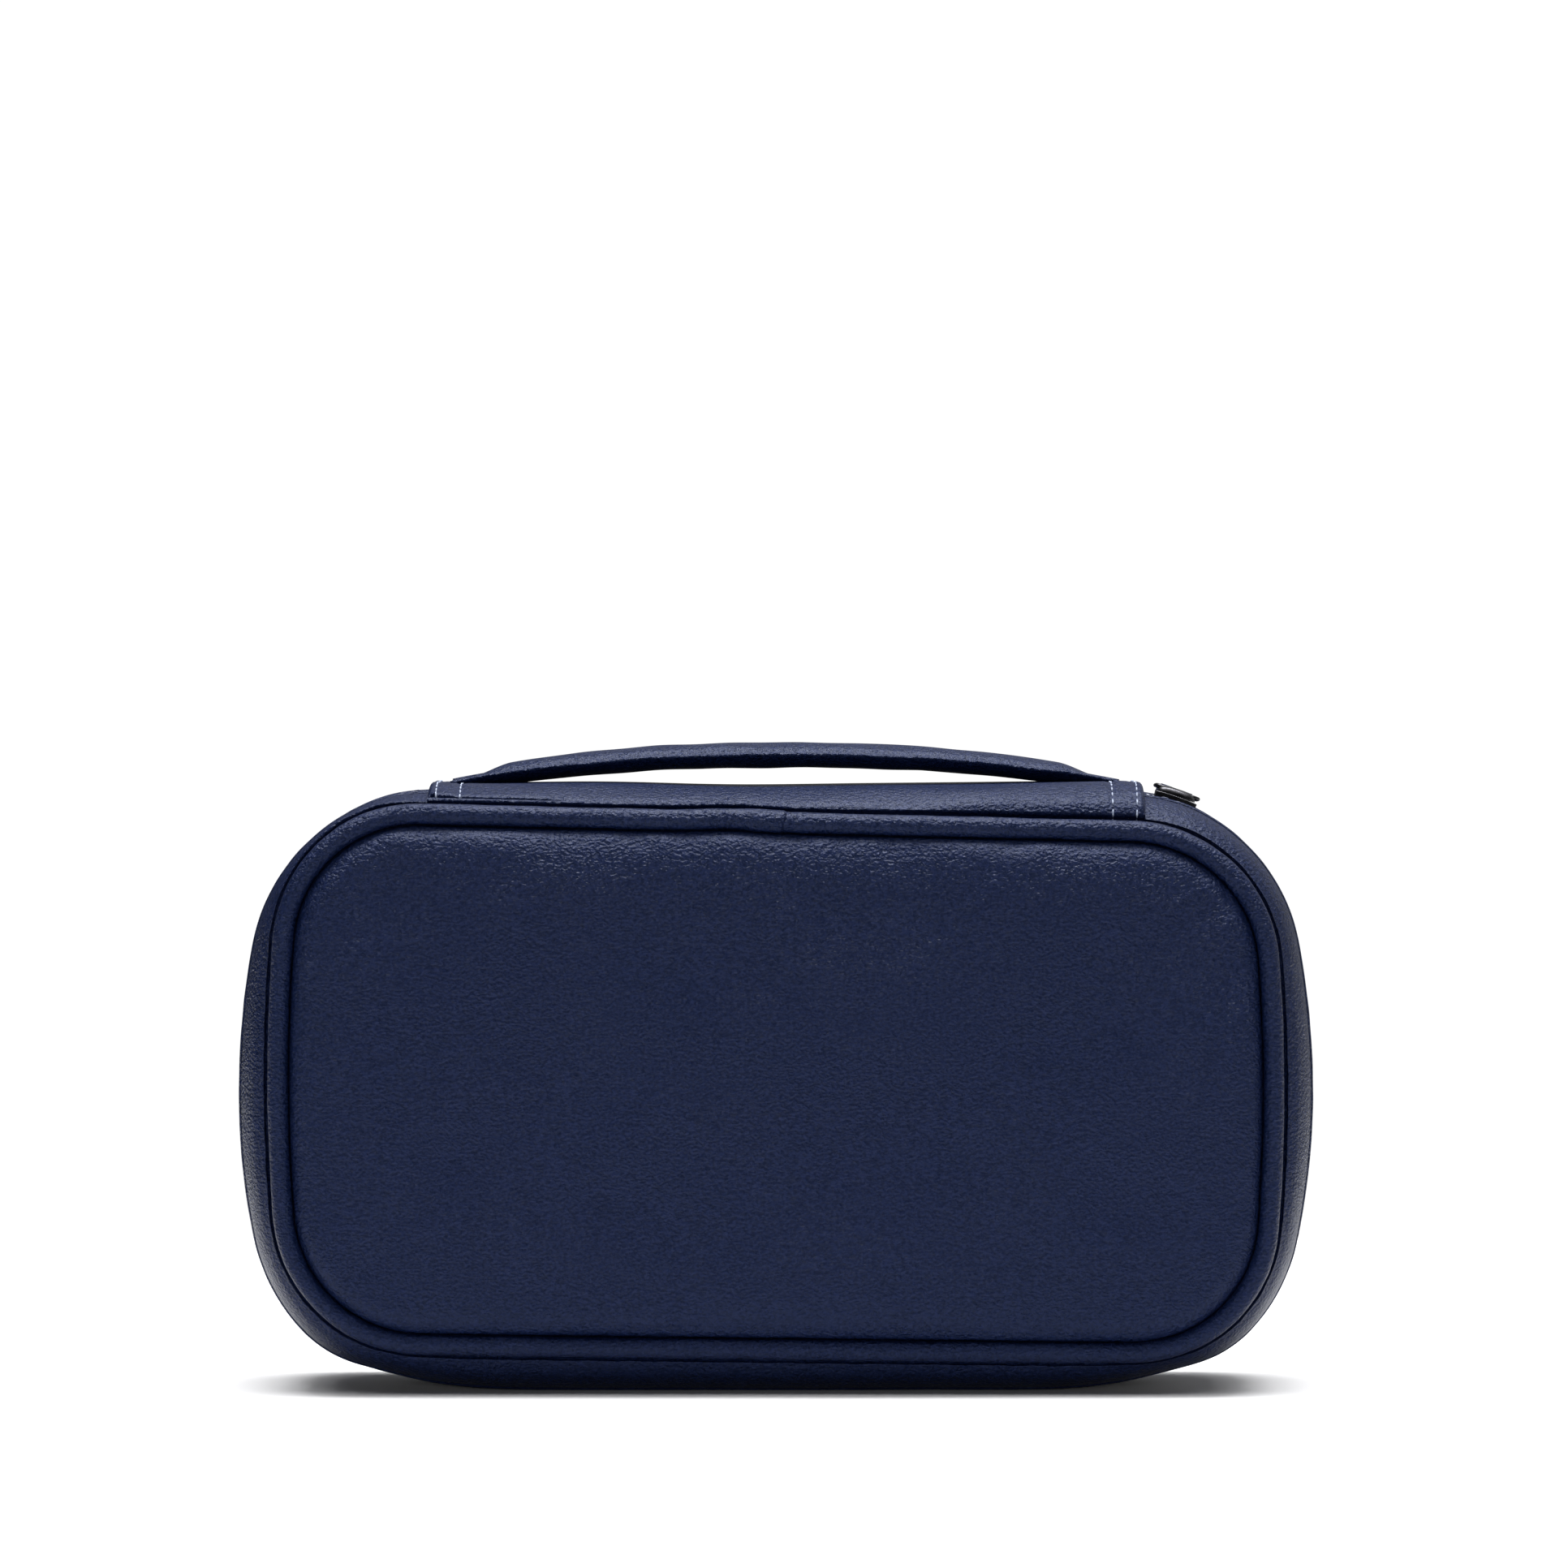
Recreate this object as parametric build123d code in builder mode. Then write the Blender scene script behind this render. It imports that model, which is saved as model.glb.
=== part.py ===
from build123d import *
from math import atan2, cos, degrees, pi, radians, sin, sqrt
import os

# A zip-round leather jewellery case that stands on its long side.
# X runs along the width, +Y towards the back, +Z up. The origin is on the surface that the case
# stands on, midway along its width and depth. All sizes are in millimetres.

# Overall size of the gusset ring, seen from the front
CASE_WIDTH = 240.0
CASE_HEIGHT = 134.2
GUSSET_SIDE_RADIUS = 169.2      # the short sides bow outwards
GUSSET_CORNER_RADIUS = 42.1
CASE_MIDDLE = CASE_HEIGHT / 2

# Piped seam between a panel and the gusset
SEAM_HALF_WIDTH = 110.5
SEAM_HALF_HEIGHT = 58.5
SEAM_SIDE_RADIUS = 395.0
SEAM_CORNER_RADIUS = 30.6
SEAM_LIFT = 1.7                 # the seam ring sits a little above the middle of the gusset
SEAM_DEPTH = 27.0               # from the mid-plane to the piping's centre
PIPING_RADIUS = 2.3
CORD_RADIUS = 1.25

# Gusset profile: share of the way from the seam outline to the full outline, by depth
FULL_DEPTH = 12.0
SHOULDER_DEPTH = 20.0
SHOULDER_SHARE = 0.8
GUSSET_EDGE_DEPTH = 24.6

# Layers of the gusset wall, as insets from its outer face
LEATHER_THICKNESS = 1.4
TAPE_LAYER = (1.5, 2.1)
BOARD_LAYER = (2.2, 3.4)
LINING_LAYER = (3.5, 4.3)
LINING_EDGE_DEPTH = 22.0

# Padded panels, measured outwards from the mid-plane
PANEL_GAP = 2.45                # from the seam line to the panel's edge
PANEL_BACK_DEPTH = 25.2
PANEL_FRONT_DEPTH = 31.5
PANEL_EDGE_RADIUS = 5.0
PANEL_LEATHER = 1.3
PANEL_BOARD_DEPTHS = (23.5, 25.0)
PANEL_LINING_DEPTHS = (22.4, 23.3)
LINING_INSET = 6.5
BOARD_INSET = 0.6
LAYER_GAP = 0.1

# Zip and lid fold
ZIP_Y = -6.0
WINDOW_HALF = 5.0               # between a leather edge and the middle of the zip
FOLD_GAP = 0.1
TOOTH_PITCH = 3.0
TOOTH_WIDTH = 1.2
TOOTH_LAYER = (0.5, 2.9)
TOOTH_ROOT = 1.65
TOOTH_REACH = 0.8               # a meshed tooth reaches past the middle of the zip
TOOTH_CLEAR = 0.55              # teeth on the slider's way leave room for its post
TAPE_EDGE = 1.75
TAPE_WIDTH = 5.8

# Spine band over the top
SPINE_LEFT = -77.4
SPINE_RIGHT = 82.0
SPINE_PROUD = 1.1
SPINE_CUT_Z = 104.0

# Handle
HANDLE_WIDTH = 18.0
HANDLE_Y = 5.5
HANDLE_X = 2.0
# Layers: half length, then (end height, crown height) of the lower and the upper face
HANDLE_LINING = (72.0, (135.5, 138.5), (136.7, 139.8))
HANDLE_FILLER = (62.0, (137.6, 139.9), (137.9, 142.7))
HANDLE_LEATHER = (70.0, (137.0, 142.8), (138.2, 144.3))
FILLER_WIDTH = 13.0

# Zip slider and pull
SLIDER_ANGLE = 70.6
SLIDER_HALF_ANGLE = 6.4
SLIDER_TRAVEL = 50.0
SLIDER_HALF_WIDTH = 4.1
SLIDER_UPPER_PLATE = (-0.8, 0.3)    # insets from the gusset's face
SLIDER_LOWER_PLATE = (3.1, 4.1)
SLIDER_POST = (0.25, 3.15)
POST_HALF_WIDTH = 0.4
POST_SWEEP = 1.4
FLANGES = ((0.25, 1.3), (2.4, 3.15))
FLANGE_WIDTH = 0.7
BRIDGE_FOOT = 0.9               # heights above the gusset's face
BRIDGE_SHOULDER = 1.9
BRIDGE_COVER = 1.0              # from the bore's centre to the top
BRIDGE_HALF_WIDTH = 1.6
BRIDGE_HALF_LENGTH = 3.8
LINK_HEIGHT = 1.75              # centre of the link's bore above the gusset's face
LINK_RADIUS = 0.45
LINK_CLEARANCE = 0.08
LINK_HALF_LENGTH = 4.9
LINK_REACH = 9.0
LINK_CORNER = 1.6
PULL_TILT = 2.3
PULL_WIDTH = 7.6
PULL_CORNER = 2.4
PULL_OVERLAP = 1.2              # leather beyond the link's far side
PULL_LENGTH = 18.0
PULL_THICKNESS = 1.8

# Stretches of the front chain that stay with the back half, next to the spine's ends
RIGHT_STRETCH_ANGLE = 61.0
LEFT_STRETCH_ANGLE = 107.0

# Contents
ROLL_COUNT = 6
ROLL_LENGTH = 86.0
ROLL_DEPTH = 11.5
ROLL_PITCH = 16.2
ROLLS_X = -53.0
ROLL_GAP = 0.15
ROLL_BACK_DEPTH = 20.1
ROLL_BASE_DEPTHS = (20.2, 22.0)
ROLL_BASE_CORNER = 8.0
TRAY_X = 47.0
TRAY_WIDTH = 100.0
TRAY_HEIGHT = 100.0
TRAY_DEPTHS = (3.7, 21.9)
TRAY_WALL = 2.2
TRAY_CORNER = 10.0
TRAY_FLOOR = 1.6
TRAY_CLEARANCE = 0.1
DIVIDER_THICKNESS = 1.8
DIVIDER_DROP = 1.0              # dividers stand this much lower than the wall
SHELF_OFFSET = 14.0
CONTENTS_Z = 67.5
POCKET_WIDTH = 184.0
POCKET_HEIGHT = 46.0
POCKET_BASE_Z = 20.0
POCKET_DEPTHS = (14.6, 22.2)
POCKET_WALL = 1.2
TAB_COUNT = 4
TAB_PITCH = 38.0
TAB_WIDTH = 13.0
TAB_LENGTH = 24.0
TAB_THICKNESS = 1.6
TAB_CORNER = 2.0
TAB_AXIS_Z = 111.0
STRIP_Z = 115.6
STRIP_HEIGHT = 6.6
LID_LINING_DEPTH = 22.3
SNAP_RISE = 5.5
SNAP_CAP_RADIUS = 3.6
SNAP_POST_RADIUS = 3.0
TAB_DEPTH = 19.6

FRONT = -1
BACK = 1


def share_at(depth):
    """Share of the way from the seam outline to the full gusset outline at a depth."""
    if depth <= FULL_DEPTH:
        return 1.0
    if depth <= SHOULDER_DEPTH:
        step = (depth - FULL_DEPTH) / (SHOULDER_DEPTH - FULL_DEPTH)
        return 1.0 + (SHOULDER_SHARE - 1.0) * step
    return SHOULDER_SHARE * (SEAM_DEPTH - depth) / (SEAM_DEPTH - SHOULDER_DEPTH)


def corner_centre(half_width, half_height, side_radius, corner_radius):
    """Centre of the upper right corner arc, tangent to the top and to the bowed side."""
    z = half_height - corner_radius
    x = half_width - side_radius + sqrt((side_radius - corner_radius) ** 2 - z ** 2)
    return x, z


def draw_outline(half_width, half_height, side_radius, corner_radius):
    """Face with a straight top and bottom, bowed sides and tangent corner arcs."""
    cx, cz = corner_centre(half_width, half_height, side_radius, corner_radius)
    tilt = atan2(cz, cx - (half_width - side_radius))
    middle = (pi / 2 + tilt) / 2
    end_x = cx + corner_radius * cos(tilt)
    end_z = cz + corner_radius * sin(tilt)
    mid_x = cx + corner_radius * cos(middle)
    mid_z = cz + corner_radius * sin(middle)
    with BuildLine() as outline:
        Line((-cx, half_height), (cx, half_height))
        ThreePointArc((cx, half_height), (mid_x, mid_z), (end_x, end_z))
        ThreePointArc((end_x, end_z), (half_width, 0), (end_x, -end_z))
        ThreePointArc((end_x, -end_z), (mid_x, -mid_z), (cx, -half_height))
        Line((cx, -half_height), (-cx, -half_height))
        ThreePointArc((-cx, -half_height), (-mid_x, -mid_z), (-end_x, -end_z))
        ThreePointArc((-end_x, -end_z), (-half_width, 0), (-end_x, end_z))
        ThreePointArc((-end_x, end_z), (-mid_x, mid_z), (-cx, half_height))
    make_face(outline.edges())


def ring_plane(y, share, facing):
    """Upright plane at a given y, level with the outline that has this share."""
    z = CASE_MIDDLE + SEAM_LIFT * (1 - share)
    return Plane(origin=(0, y, z), x_dir=(1, 0, 0), z_dir=(0, facing, 0))


def draw_ring_outline(share, inset):
    """Outline between the seam (share 0) and the full gusset (share 1), moved in by inset."""
    curvature = (1 - share) / SEAM_SIDE_RADIUS + share / GUSSET_SIDE_RADIUS
    half_width = SEAM_HALF_WIDTH + share * (CASE_WIDTH / 2 - SEAM_HALF_WIDTH)
    half_height = SEAM_HALF_HEIGHT + share * (CASE_HEIGHT / 2 - SEAM_HALF_HEIGHT)
    corner = SEAM_CORNER_RADIUS + share * (GUSSET_CORNER_RADIUS - SEAM_CORNER_RADIUS)
    draw_outline(half_width - inset, half_height - inset, 1 / curvature - inset, corner - inset)


def gusset_wall(facing, near_y, far_depth, layer):
    """Ring-shaped wall from near_y out to far_depth, between two insets."""
    near_depth = facing * near_y
    depths = [near_depth]
    for depth in (FULL_DEPTH, SHOULDER_DEPTH):
        if near_depth < depth < far_depth:
            depths.append(depth)
    depths.append(far_depth)
    with BuildPart() as wall:
        for inset, mode in zip(layer, (Mode.ADD, Mode.SUBTRACT)):
            for depth in depths:
                share = share_at(depth)
                with BuildSketch(ring_plane(facing * depth, share, facing)):
                    draw_ring_outline(share, inset)
            loft(ruled=True, mode=mode)
    return wall.part


def spine_zone(grow=0.0):
    """Block over the top of the case, between the spine band's ends."""
    width = SPINE_RIGHT - SPINE_LEFT + 2 * grow
    middle = (SPINE_RIGHT + SPINE_LEFT) / 2
    with BuildPart(Plane.XY.offset(SPINE_CUT_Z - grow)) as zone:
        with Locations((middle, 0, 0)):
            Box(width, 80, 60, align=(Align.CENTER, Align.CENTER, Align.MIN))
    return zone.part


def save(part, name):
    """Label a finished piece and write its file."""
    part.label = name
    export_step(part, f"parts/{name}.step")


def seam_path(facing):
    """Closed line along the middle of the piping."""
    with BuildSketch(ring_plane(facing * SEAM_DEPTH, 0, facing)) as seam:
        draw_ring_outline(0, 0)
    return seam.sketch.faces()[0].outer_wire()


def piping_tube(facing, outer, inner):
    """Tube round the seam; inner 0 gives a solid cord."""
    start = Plane(origin=(0, facing * SEAM_DEPTH, CASE_MIDDLE + SEAM_LIFT + SEAM_HALF_HEIGHT),
                  x_dir=(0, 1, 0), z_dir=(1, 0, 0))
    with BuildPart() as tube:
        with BuildSketch(start):
            Circle(outer)
            if inner:
                Circle(inner, mode=Mode.SUBTRACT)
        sweep(path=seam_path(facing))
    return tube.part


def pillow(facing, inset, near_depth, far_depth, edge_radius):
    """Panel-shaped block with its outer edge rounded over."""
    with BuildPart() as block:
        with BuildSketch(ring_plane(facing * near_depth, 0, facing)):
            draw_ring_outline(0, PANEL_GAP + inset)
        extrude(amount=far_depth - near_depth)
        if edge_radius:
            flat_faces = block.faces().filter_by(Axis.Y).sort_by(Axis.Y)
            outer_face = flat_faces[0] if facing == FRONT else flat_faces[-1]
            fillet(outer_face.edges(), edge_radius)
    return block.part


def make_panel(facing, name):
    """Padded panel: leather skin over foam, on a board with a suede lining."""
    outer = pillow(facing, 0, PANEL_BACK_DEPTH, PANEL_FRONT_DEPTH, PANEL_EDGE_RADIUS)
    hollow = pillow(facing, PANEL_LEATHER, PANEL_BACK_DEPTH, PANEL_FRONT_DEPTH - PANEL_LEATHER,
                    PANEL_EDGE_RADIUS - PANEL_LEATHER)
    save(outer - hollow, f"{name}_panel_leather")
    foam = pillow(facing, PANEL_LEATHER + LAYER_GAP, PANEL_BACK_DEPTH + LAYER_GAP,
                  PANEL_FRONT_DEPTH - PANEL_LEATHER - LAYER_GAP, PANEL_EDGE_RADIUS - PANEL_LEATHER)
    save(foam, f"{name}_panel_foam")
    near, far = PANEL_BOARD_DEPTHS
    save(pillow(facing, BOARD_INSET, near, far, 0), f"{name}_panel_board")
    near, far = PANEL_LINING_DEPTHS
    save(pillow(facing, LINING_INSET - PANEL_GAP, near, far, 0), f"{name}_panel_lining")


def make_piping(facing, name):
    """Leather piping over a cord."""
    save(piping_tube(facing, PIPING_RADIUS, CORD_RADIUS + 0.05), f"{name}_piping")
    save(piping_tube(facing, CORD_RADIUS, 0), f"{name}_piping_cord")


def make_gusset(facing, name, window_y, fold_y):
    """Gusset half, with the spine band over its top."""
    zone = spine_zone()
    leather = gusset_wall(facing, window_y, GUSSET_EDGE_DEPTH, (0, LEATHER_THICKNESS))
    save(leather - spine_zone(0.05), f"{name}_gusset_leather")
    band = gusset_wall(facing, fold_y, GUSSET_EDGE_DEPTH, (-SPINE_PROUD, LEATHER_THICKNESS))
    save(band & zone, f"{name}_spine_leather")
    board = gusset_wall(facing, window_y + facing * 0.2, LINING_EDGE_DEPTH, BOARD_LAYER)
    save(board, f"{name}_gusset_board")
    lining = gusset_wall(facing, window_y + facing * 0.2, LINING_EDGE_DEPTH, LINING_LAYER)
    save(lining, f"{name}_gusset_lining")


def arch_z(x, crown, drop, span):
    """Height of a shallow arch of the given crown that falls by drop at span from its middle."""
    radius = (span ** 2 + drop ** 2) / (2 * drop)
    return crown - radius + sqrt(radius ** 2 - (x - HANDLE_X) ** 2)


def handle_layer(half_length, low, high, width):
    """Arched layer of the handle; low and high are (end height, crown height)."""
    left = HANDLE_X - half_length
    right = HANDLE_X + half_length
    front = Plane(origin=(0, HANDLE_Y + width / 2, 0), x_dir=(1, 0, 0), z_dir=(0, -1, 0))
    with BuildPart() as layer:
        with BuildSketch(front):
            with BuildLine():
                ThreePointArc((left, low[0]), (HANDLE_X, low[1]), (right, low[0]))
                Line((right, low[0]), (right, high[0]))
                ThreePointArc((right, high[0]), (HANDLE_X, high[1]), (left, high[0]))
                Line((left, high[0]), (left, low[0]))
            make_face()
        extrude(amount=width)
    return layer.part


def make_handle():
    """Flat padded handle: lining strap, filler and top leather."""
    save(handle_layer(*HANDLE_LINING, HANDLE_WIDTH), "handle_lining")
    save(handle_layer(*HANDLE_FILLER, FILLER_WIDTH), "handle_filler")
    save(handle_layer(*HANDLE_LEATHER, HANDLE_WIDTH), "handle_top_leather")


def full_corner():
    """Centre and radius of the full outline's upper right corner arc."""
    x, z = corner_centre(CASE_WIDTH / 2, CASE_HEIGHT / 2, GUSSET_SIDE_RADIUS,
                         GUSSET_CORNER_RADIUS)
    return x, z + CASE_MIDDLE


def side_of_zip(facing, near, far):
    """Y range of a strip that runs from near to far, measured from the middle of the zip."""
    return sorted((ZIP_Y + facing * near, ZIP_Y + facing * far))


def tape_ring(facing):
    """Closed ring of zip tape on one side of the zip."""
    low, high = side_of_zip(facing, TAPE_EDGE, TAPE_WIDTH)
    with BuildPart() as ring:
        with BuildSketch(ring_plane(low, 1, 1)):
            draw_ring_outline(1, TAPE_LAYER[0])
        extrude(amount=high - low)
        with BuildSketch(ring_plane(low, 1, 1)):
            draw_ring_outline(1, TAPE_LAYER[1])
        extrude(amount=high - low, mode=Mode.SUBTRACT)
    return ring.part


def wedge(start_angle, end_angle, mirrored):
    """Block that covers the upper corner between two angles of its arc."""
    cx, cz = full_corner()
    side = -1 if mirrored else 1
    reach = 60.0
    points = [(side * cx, cz)]
    for angle in (start_angle, (start_angle + end_angle) / 2, end_angle):
        points.append((side * (cx + reach * cos(radians(angle))), cz + reach * sin(radians(angle))))
    with BuildPart() as block:
        with BuildSketch(Plane(origin=(0, 0, 0), x_dir=(1, 0, 0), z_dir=(0, -1, 0))):
            Polygon(*points, align=None)
        extrude(amount=40, both=True)
    return block.part


def outline_point(length):
    """Point and outward angle on the full outline, by length clockwise from the spine's right end."""
    cx, cz = full_corner()
    top = cx - SPINE_RIGHT
    side_centre = CASE_WIDTH / 2 - GUSSET_SIDE_RADIUS
    tilt = degrees(atan2(cz - CASE_MIDDLE, cx - side_centre))
    start = 90 + degrees(top / GUSSET_CORNER_RADIUS)
    corner_length = radians(start - tilt) * GUSSET_CORNER_RADIUS
    side_length = radians(2 * tilt) * GUSSET_SIDE_RADIUS
    lower_length = radians(90 - tilt) * GUSSET_CORNER_RADIUS
    if length < corner_length:
        angle = start - degrees(length / GUSSET_CORNER_RADIUS)
        return arc_point(cx, cz, GUSSET_CORNER_RADIUS, angle)
    length -= corner_length
    if length < side_length:
        angle = tilt - degrees(length / GUSSET_SIDE_RADIUS)
        return arc_point(side_centre, CASE_MIDDLE, GUSSET_SIDE_RADIUS, angle)
    length -= side_length
    if length < lower_length:
        angle = -tilt - degrees(length / GUSSET_CORNER_RADIUS)
        return arc_point(cx, CASE_HEIGHT - cz, GUSSET_CORNER_RADIUS, angle)
    length -= lower_length
    return cx - length, 0.0, -90.0


def arc_point(x, z, radius, angle):
    """Point on an arc, with its outward angle."""
    return x + radius * cos(radians(angle)), z + radius * sin(radians(angle)), angle


def half_length():
    """Length of the zip's path from the spine's right end to the middle of the bottom."""
    length = 0.0
    while outline_point(length)[0] > 0 or outline_point(length)[2] > 0:
        length += 0.25
    return length


def tooth_places():
    """Places of the teeth of the back chain and of the front chain, half a pitch apart."""
    total = half_length()
    places = []
    count = int(total / (TOOTH_PITCH / 2))
    for index in range(1, count):
        x, z, angle = outline_point(index * TOOTH_PITCH / 2)
        places.append((index, x, z, angle, 1))
        places.append((index, -x, z, 180 - angle, -1))
    places.append((count, 0.0, 0.0, -90.0, 1))
    return places


def place_angle(place):
    """Corner angle of a place near the spine's ends, or a low value elsewhere."""
    angle, side = place[3:]
    return angle if side == 1 else 180 - angle


def on_slider_way(place):
    """True for a tooth that the slider's post passes."""
    angle, side = place[3:]
    return side == 1 and angle > SLIDER_ANGLE - SLIDER_TRAVEL - 2 * SLIDER_HALF_ANGLE


def chain(facing, chosen):
    """Group of separate zip teeth on one side of the zip."""
    depth = TOOTH_LAYER[1] - TOOTH_LAYER[0]
    inset = (TOOTH_LAYER[1] + TOOTH_LAYER[0]) / 2
    with BuildPart() as teeth:
        for near, clear in ((-TOOTH_REACH, False), (TOOTH_CLEAR, True)):
            group = [place for place in chosen if on_slider_way(place) == clear]
            if not group:
                continue
            low, high = side_of_zip(facing, near, TOOTH_ROOT)
            with BuildSketch(Plane(origin=(0, high, 0), x_dir=(1, 0, 0), z_dir=(0, -1, 0))):
                for _, x, z, angle, _ in group:
                    centre = (x - inset * cos(radians(angle)), z - inset * sin(radians(angle)))
                    with Locations(Location(centre, angle)):
                        Rectangle(depth, TOOTH_WIDTH)
            extrude(amount=high - low)
    return teeth.part


def make_zip():
    """Zip tapes, teeth and the stop at the chain's foot."""
    places = tooth_places()
    back_places = [place for place in places if place[0] % 2 == 0]
    front_places = [place for place in places if place[0] % 2 == 1]
    right_zone = wedge(RIGHT_STRETCH_ANGLE, 89.0, False)
    left_zone = wedge(180 - LEFT_STRETCH_ANGLE, 89.0, True)
    band = spine_zone(0.3)
    save(tape_ring(BACK) - band, "zip_tape_back")
    front_tape = tape_ring(FRONT) - band
    save(front_tape - wedge(RIGHT_STRETCH_ANGLE - 0.5, 120, False)
         - wedge(180 - LEFT_STRETCH_ANGLE - 0.5, 120, True), "zip_tape_front")
    with BuildPart() as keep_near:
        with Locations((0, ZIP_Y - WINDOW_HALF / 2 - TAPE_EDGE / 2, CASE_MIDDLE)):
            Box(300, WINDOW_HALF - TAPE_EDGE - 0.4, 200)
    save((front_tape & keep_near.part) & right_zone, "zip_tape_right_end")
    save((front_tape & keep_near.part) & left_zone, "zip_tape_left_end")
    save(chain(BACK, back_places), "zip_teeth_back")
    lid_teeth = []
    end_teeth = []
    for place in front_places:
        limit = RIGHT_STRETCH_ANGLE if place[4] == 1 else 180 - LEFT_STRETCH_ANGLE
        if place_angle(place) > limit:
            end_teeth.append(place)
        elif place_angle(place) < limit - 2.5:
            lid_teeth.append(place)
    save(chain(FRONT, lid_teeth), "zip_teeth_front")
    save(chain(FRONT, end_teeth), "zip_teeth_ends")


def slider_plane(angle):
    """Plane through the slider's turning axis, with x outwards and y across the zip."""
    cx, cz = full_corner()
    out = (cos(radians(angle)), 0, sin(radians(angle)))
    return Plane(origin=(cx, ZIP_Y, cz), x_dir=out, z_dir=(-out[2], 0, out[0]))


def slider_axis():
    """Axis that the slider turns about as it follows the corner."""
    cx, cz = full_corner()
    return Axis((cx, ZIP_Y, cz), (0, 1, 0))


def slider_block(insets, across, start_angle, sweep_angle):
    """Curved block that follows the corner arc; across is a y range from the zip's middle."""
    outer, inner = insets
    low, high = across
    radius = GUSSET_CORNER_RADIUS
    with BuildSketch(slider_plane(start_angle)) as profile:
        with Locations((radius - (outer + inner) / 2, (low + high) / 2)):
            Rectangle(inner - outer, high - low)
    revolve(profile.sketch, axis=slider_axis(), revolution_arc=sweep_angle)


def make_slider():
    """Zip slider: two plates with edge flanges, joined by a post, and a domed bridge."""
    start = SLIDER_ANGLE + SLIDER_HALF_ANGLE
    full = 2 * SLIDER_HALF_ANGLE
    wide = SLIDER_HALF_WIDTH
    with BuildPart() as body:
        slider_block(SLIDER_UPPER_PLATE, (-wide, wide), start, full)
        slider_block(SLIDER_LOWER_PLATE, (-wide, wide), start, full)
        slider_block(SLIDER_POST, (-POST_HALF_WIDTH, POST_HALF_WIDTH), start, POST_SWEEP)
        for side in (-1, 1):
            edge = sorted((side * wide, side * (wide - FLANGE_WIDTH)))
            for flange in FLANGES:
                slider_block(flange, edge, start, full)
    save(body.part, "zip_slider_body")
    middle = slider_plane(SLIDER_ANGLE)
    with BuildPart() as bridge:
        with BuildSketch(middle):
            with BuildLine():
                top = GUSSET_CORNER_RADIUS + LINK_HEIGHT + BRIDGE_COVER
                foot = GUSSET_CORNER_RADIUS + BRIDGE_FOOT
                bend = GUSSET_CORNER_RADIUS + BRIDGE_SHOULDER
                half = BRIDGE_HALF_WIDTH
                Line((foot, -half), (foot, half))
                Line((foot, half), (bend, half))
                ThreePointArc((bend, half), (top, 0), (bend, -half))
                Line((bend, -half), (foot, -half))
            make_face()
        extrude(amount=BRIDGE_HALF_LENGTH, both=True)
        with BuildSketch(middle):
            with Locations((GUSSET_CORNER_RADIUS + LINK_HEIGHT, 0)):
                Circle(LINK_RADIUS + LINK_CLEARANCE)
        extrude(amount=BRIDGE_HALF_LENGTH + 1, both=True, mode=Mode.SUBTRACT)
    save(bridge.part, "zip_slider_bridge")


def pull_plane():
    """Plane of the pull at rest: x along the bore, y towards the back, tilted to the leather."""
    cx, cz = full_corner()
    angle = radians(SLIDER_ANGLE)
    out = Vector(cos(angle), 0, sin(angle))
    along = Vector(sin(angle), 0, -cos(angle))
    tilt = radians(PULL_TILT)
    normal = out * cos(tilt) + Vector(0, 1, 0) * sin(tilt)
    origin = Vector(cx, ZIP_Y, cz) + out * (GUSSET_CORNER_RADIUS + LINK_HEIGHT)
    return Plane(origin=origin, x_dir=along, z_dir=normal)


def make_pull():
    """Wire link through the bridge, and a leather tab folded over the link's far side."""
    plane = pull_plane()
    toward_back = 1 if plane.y_dir.Y > 0 else -1
    reach = toward_back * LINK_REACH
    with BuildSketch(plane) as loop:
        with Locations((0, reach / 2)):
            RectangleRounded(2 * LINK_HALF_LENGTH, LINK_REACH, LINK_CORNER)
    with BuildPart() as link:
        with BuildSketch(Plane(origin=plane.origin, x_dir=plane.y_dir, z_dir=plane.x_dir)):
            Circle(LINK_RADIUS)
        sweep(path=loop.sketch.faces()[0].outer_wire())
    save(link.part, "zip_pull_link")
    with BuildPart() as tab:
        with BuildSketch(plane.offset(-PULL_THICKNESS / 2)):
            with Locations((0, toward_back * (LINK_REACH - PULL_OVERLAP + PULL_LENGTH / 2))):
                RectangleRounded(PULL_WIDTH, PULL_LENGTH, PULL_CORNER)
        extrude(amount=PULL_THICKNESS)
        with BuildSketch(Plane(origin=plane.from_local_coords((0, reach, 0)), x_dir=plane.y_dir,
                               z_dir=plane.x_dir)):
            Circle(LINK_RADIUS + LINK_CLEARANCE)
        extrude(amount=LINK_HALF_LENGTH, both=True, mode=Mode.SUBTRACT)
    save(tab.part, "zip_pull_tab")


def upright_block(x, z, width, height, depths, facing, corner=0.0):
    """Block with its face upright; depths are measured from the mid-plane."""
    near, far = depths
    with BuildPart() as block:
        with BuildSketch(Plane(origin=(x, facing * near, z), x_dir=(1, 0, 0),
                               z_dir=(0, facing, 0))):
            if corner:
                RectangleRounded(width, height, corner)
            else:
                Rectangle(width, height)
        extrude(amount=far - near)
    return block.part


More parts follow.
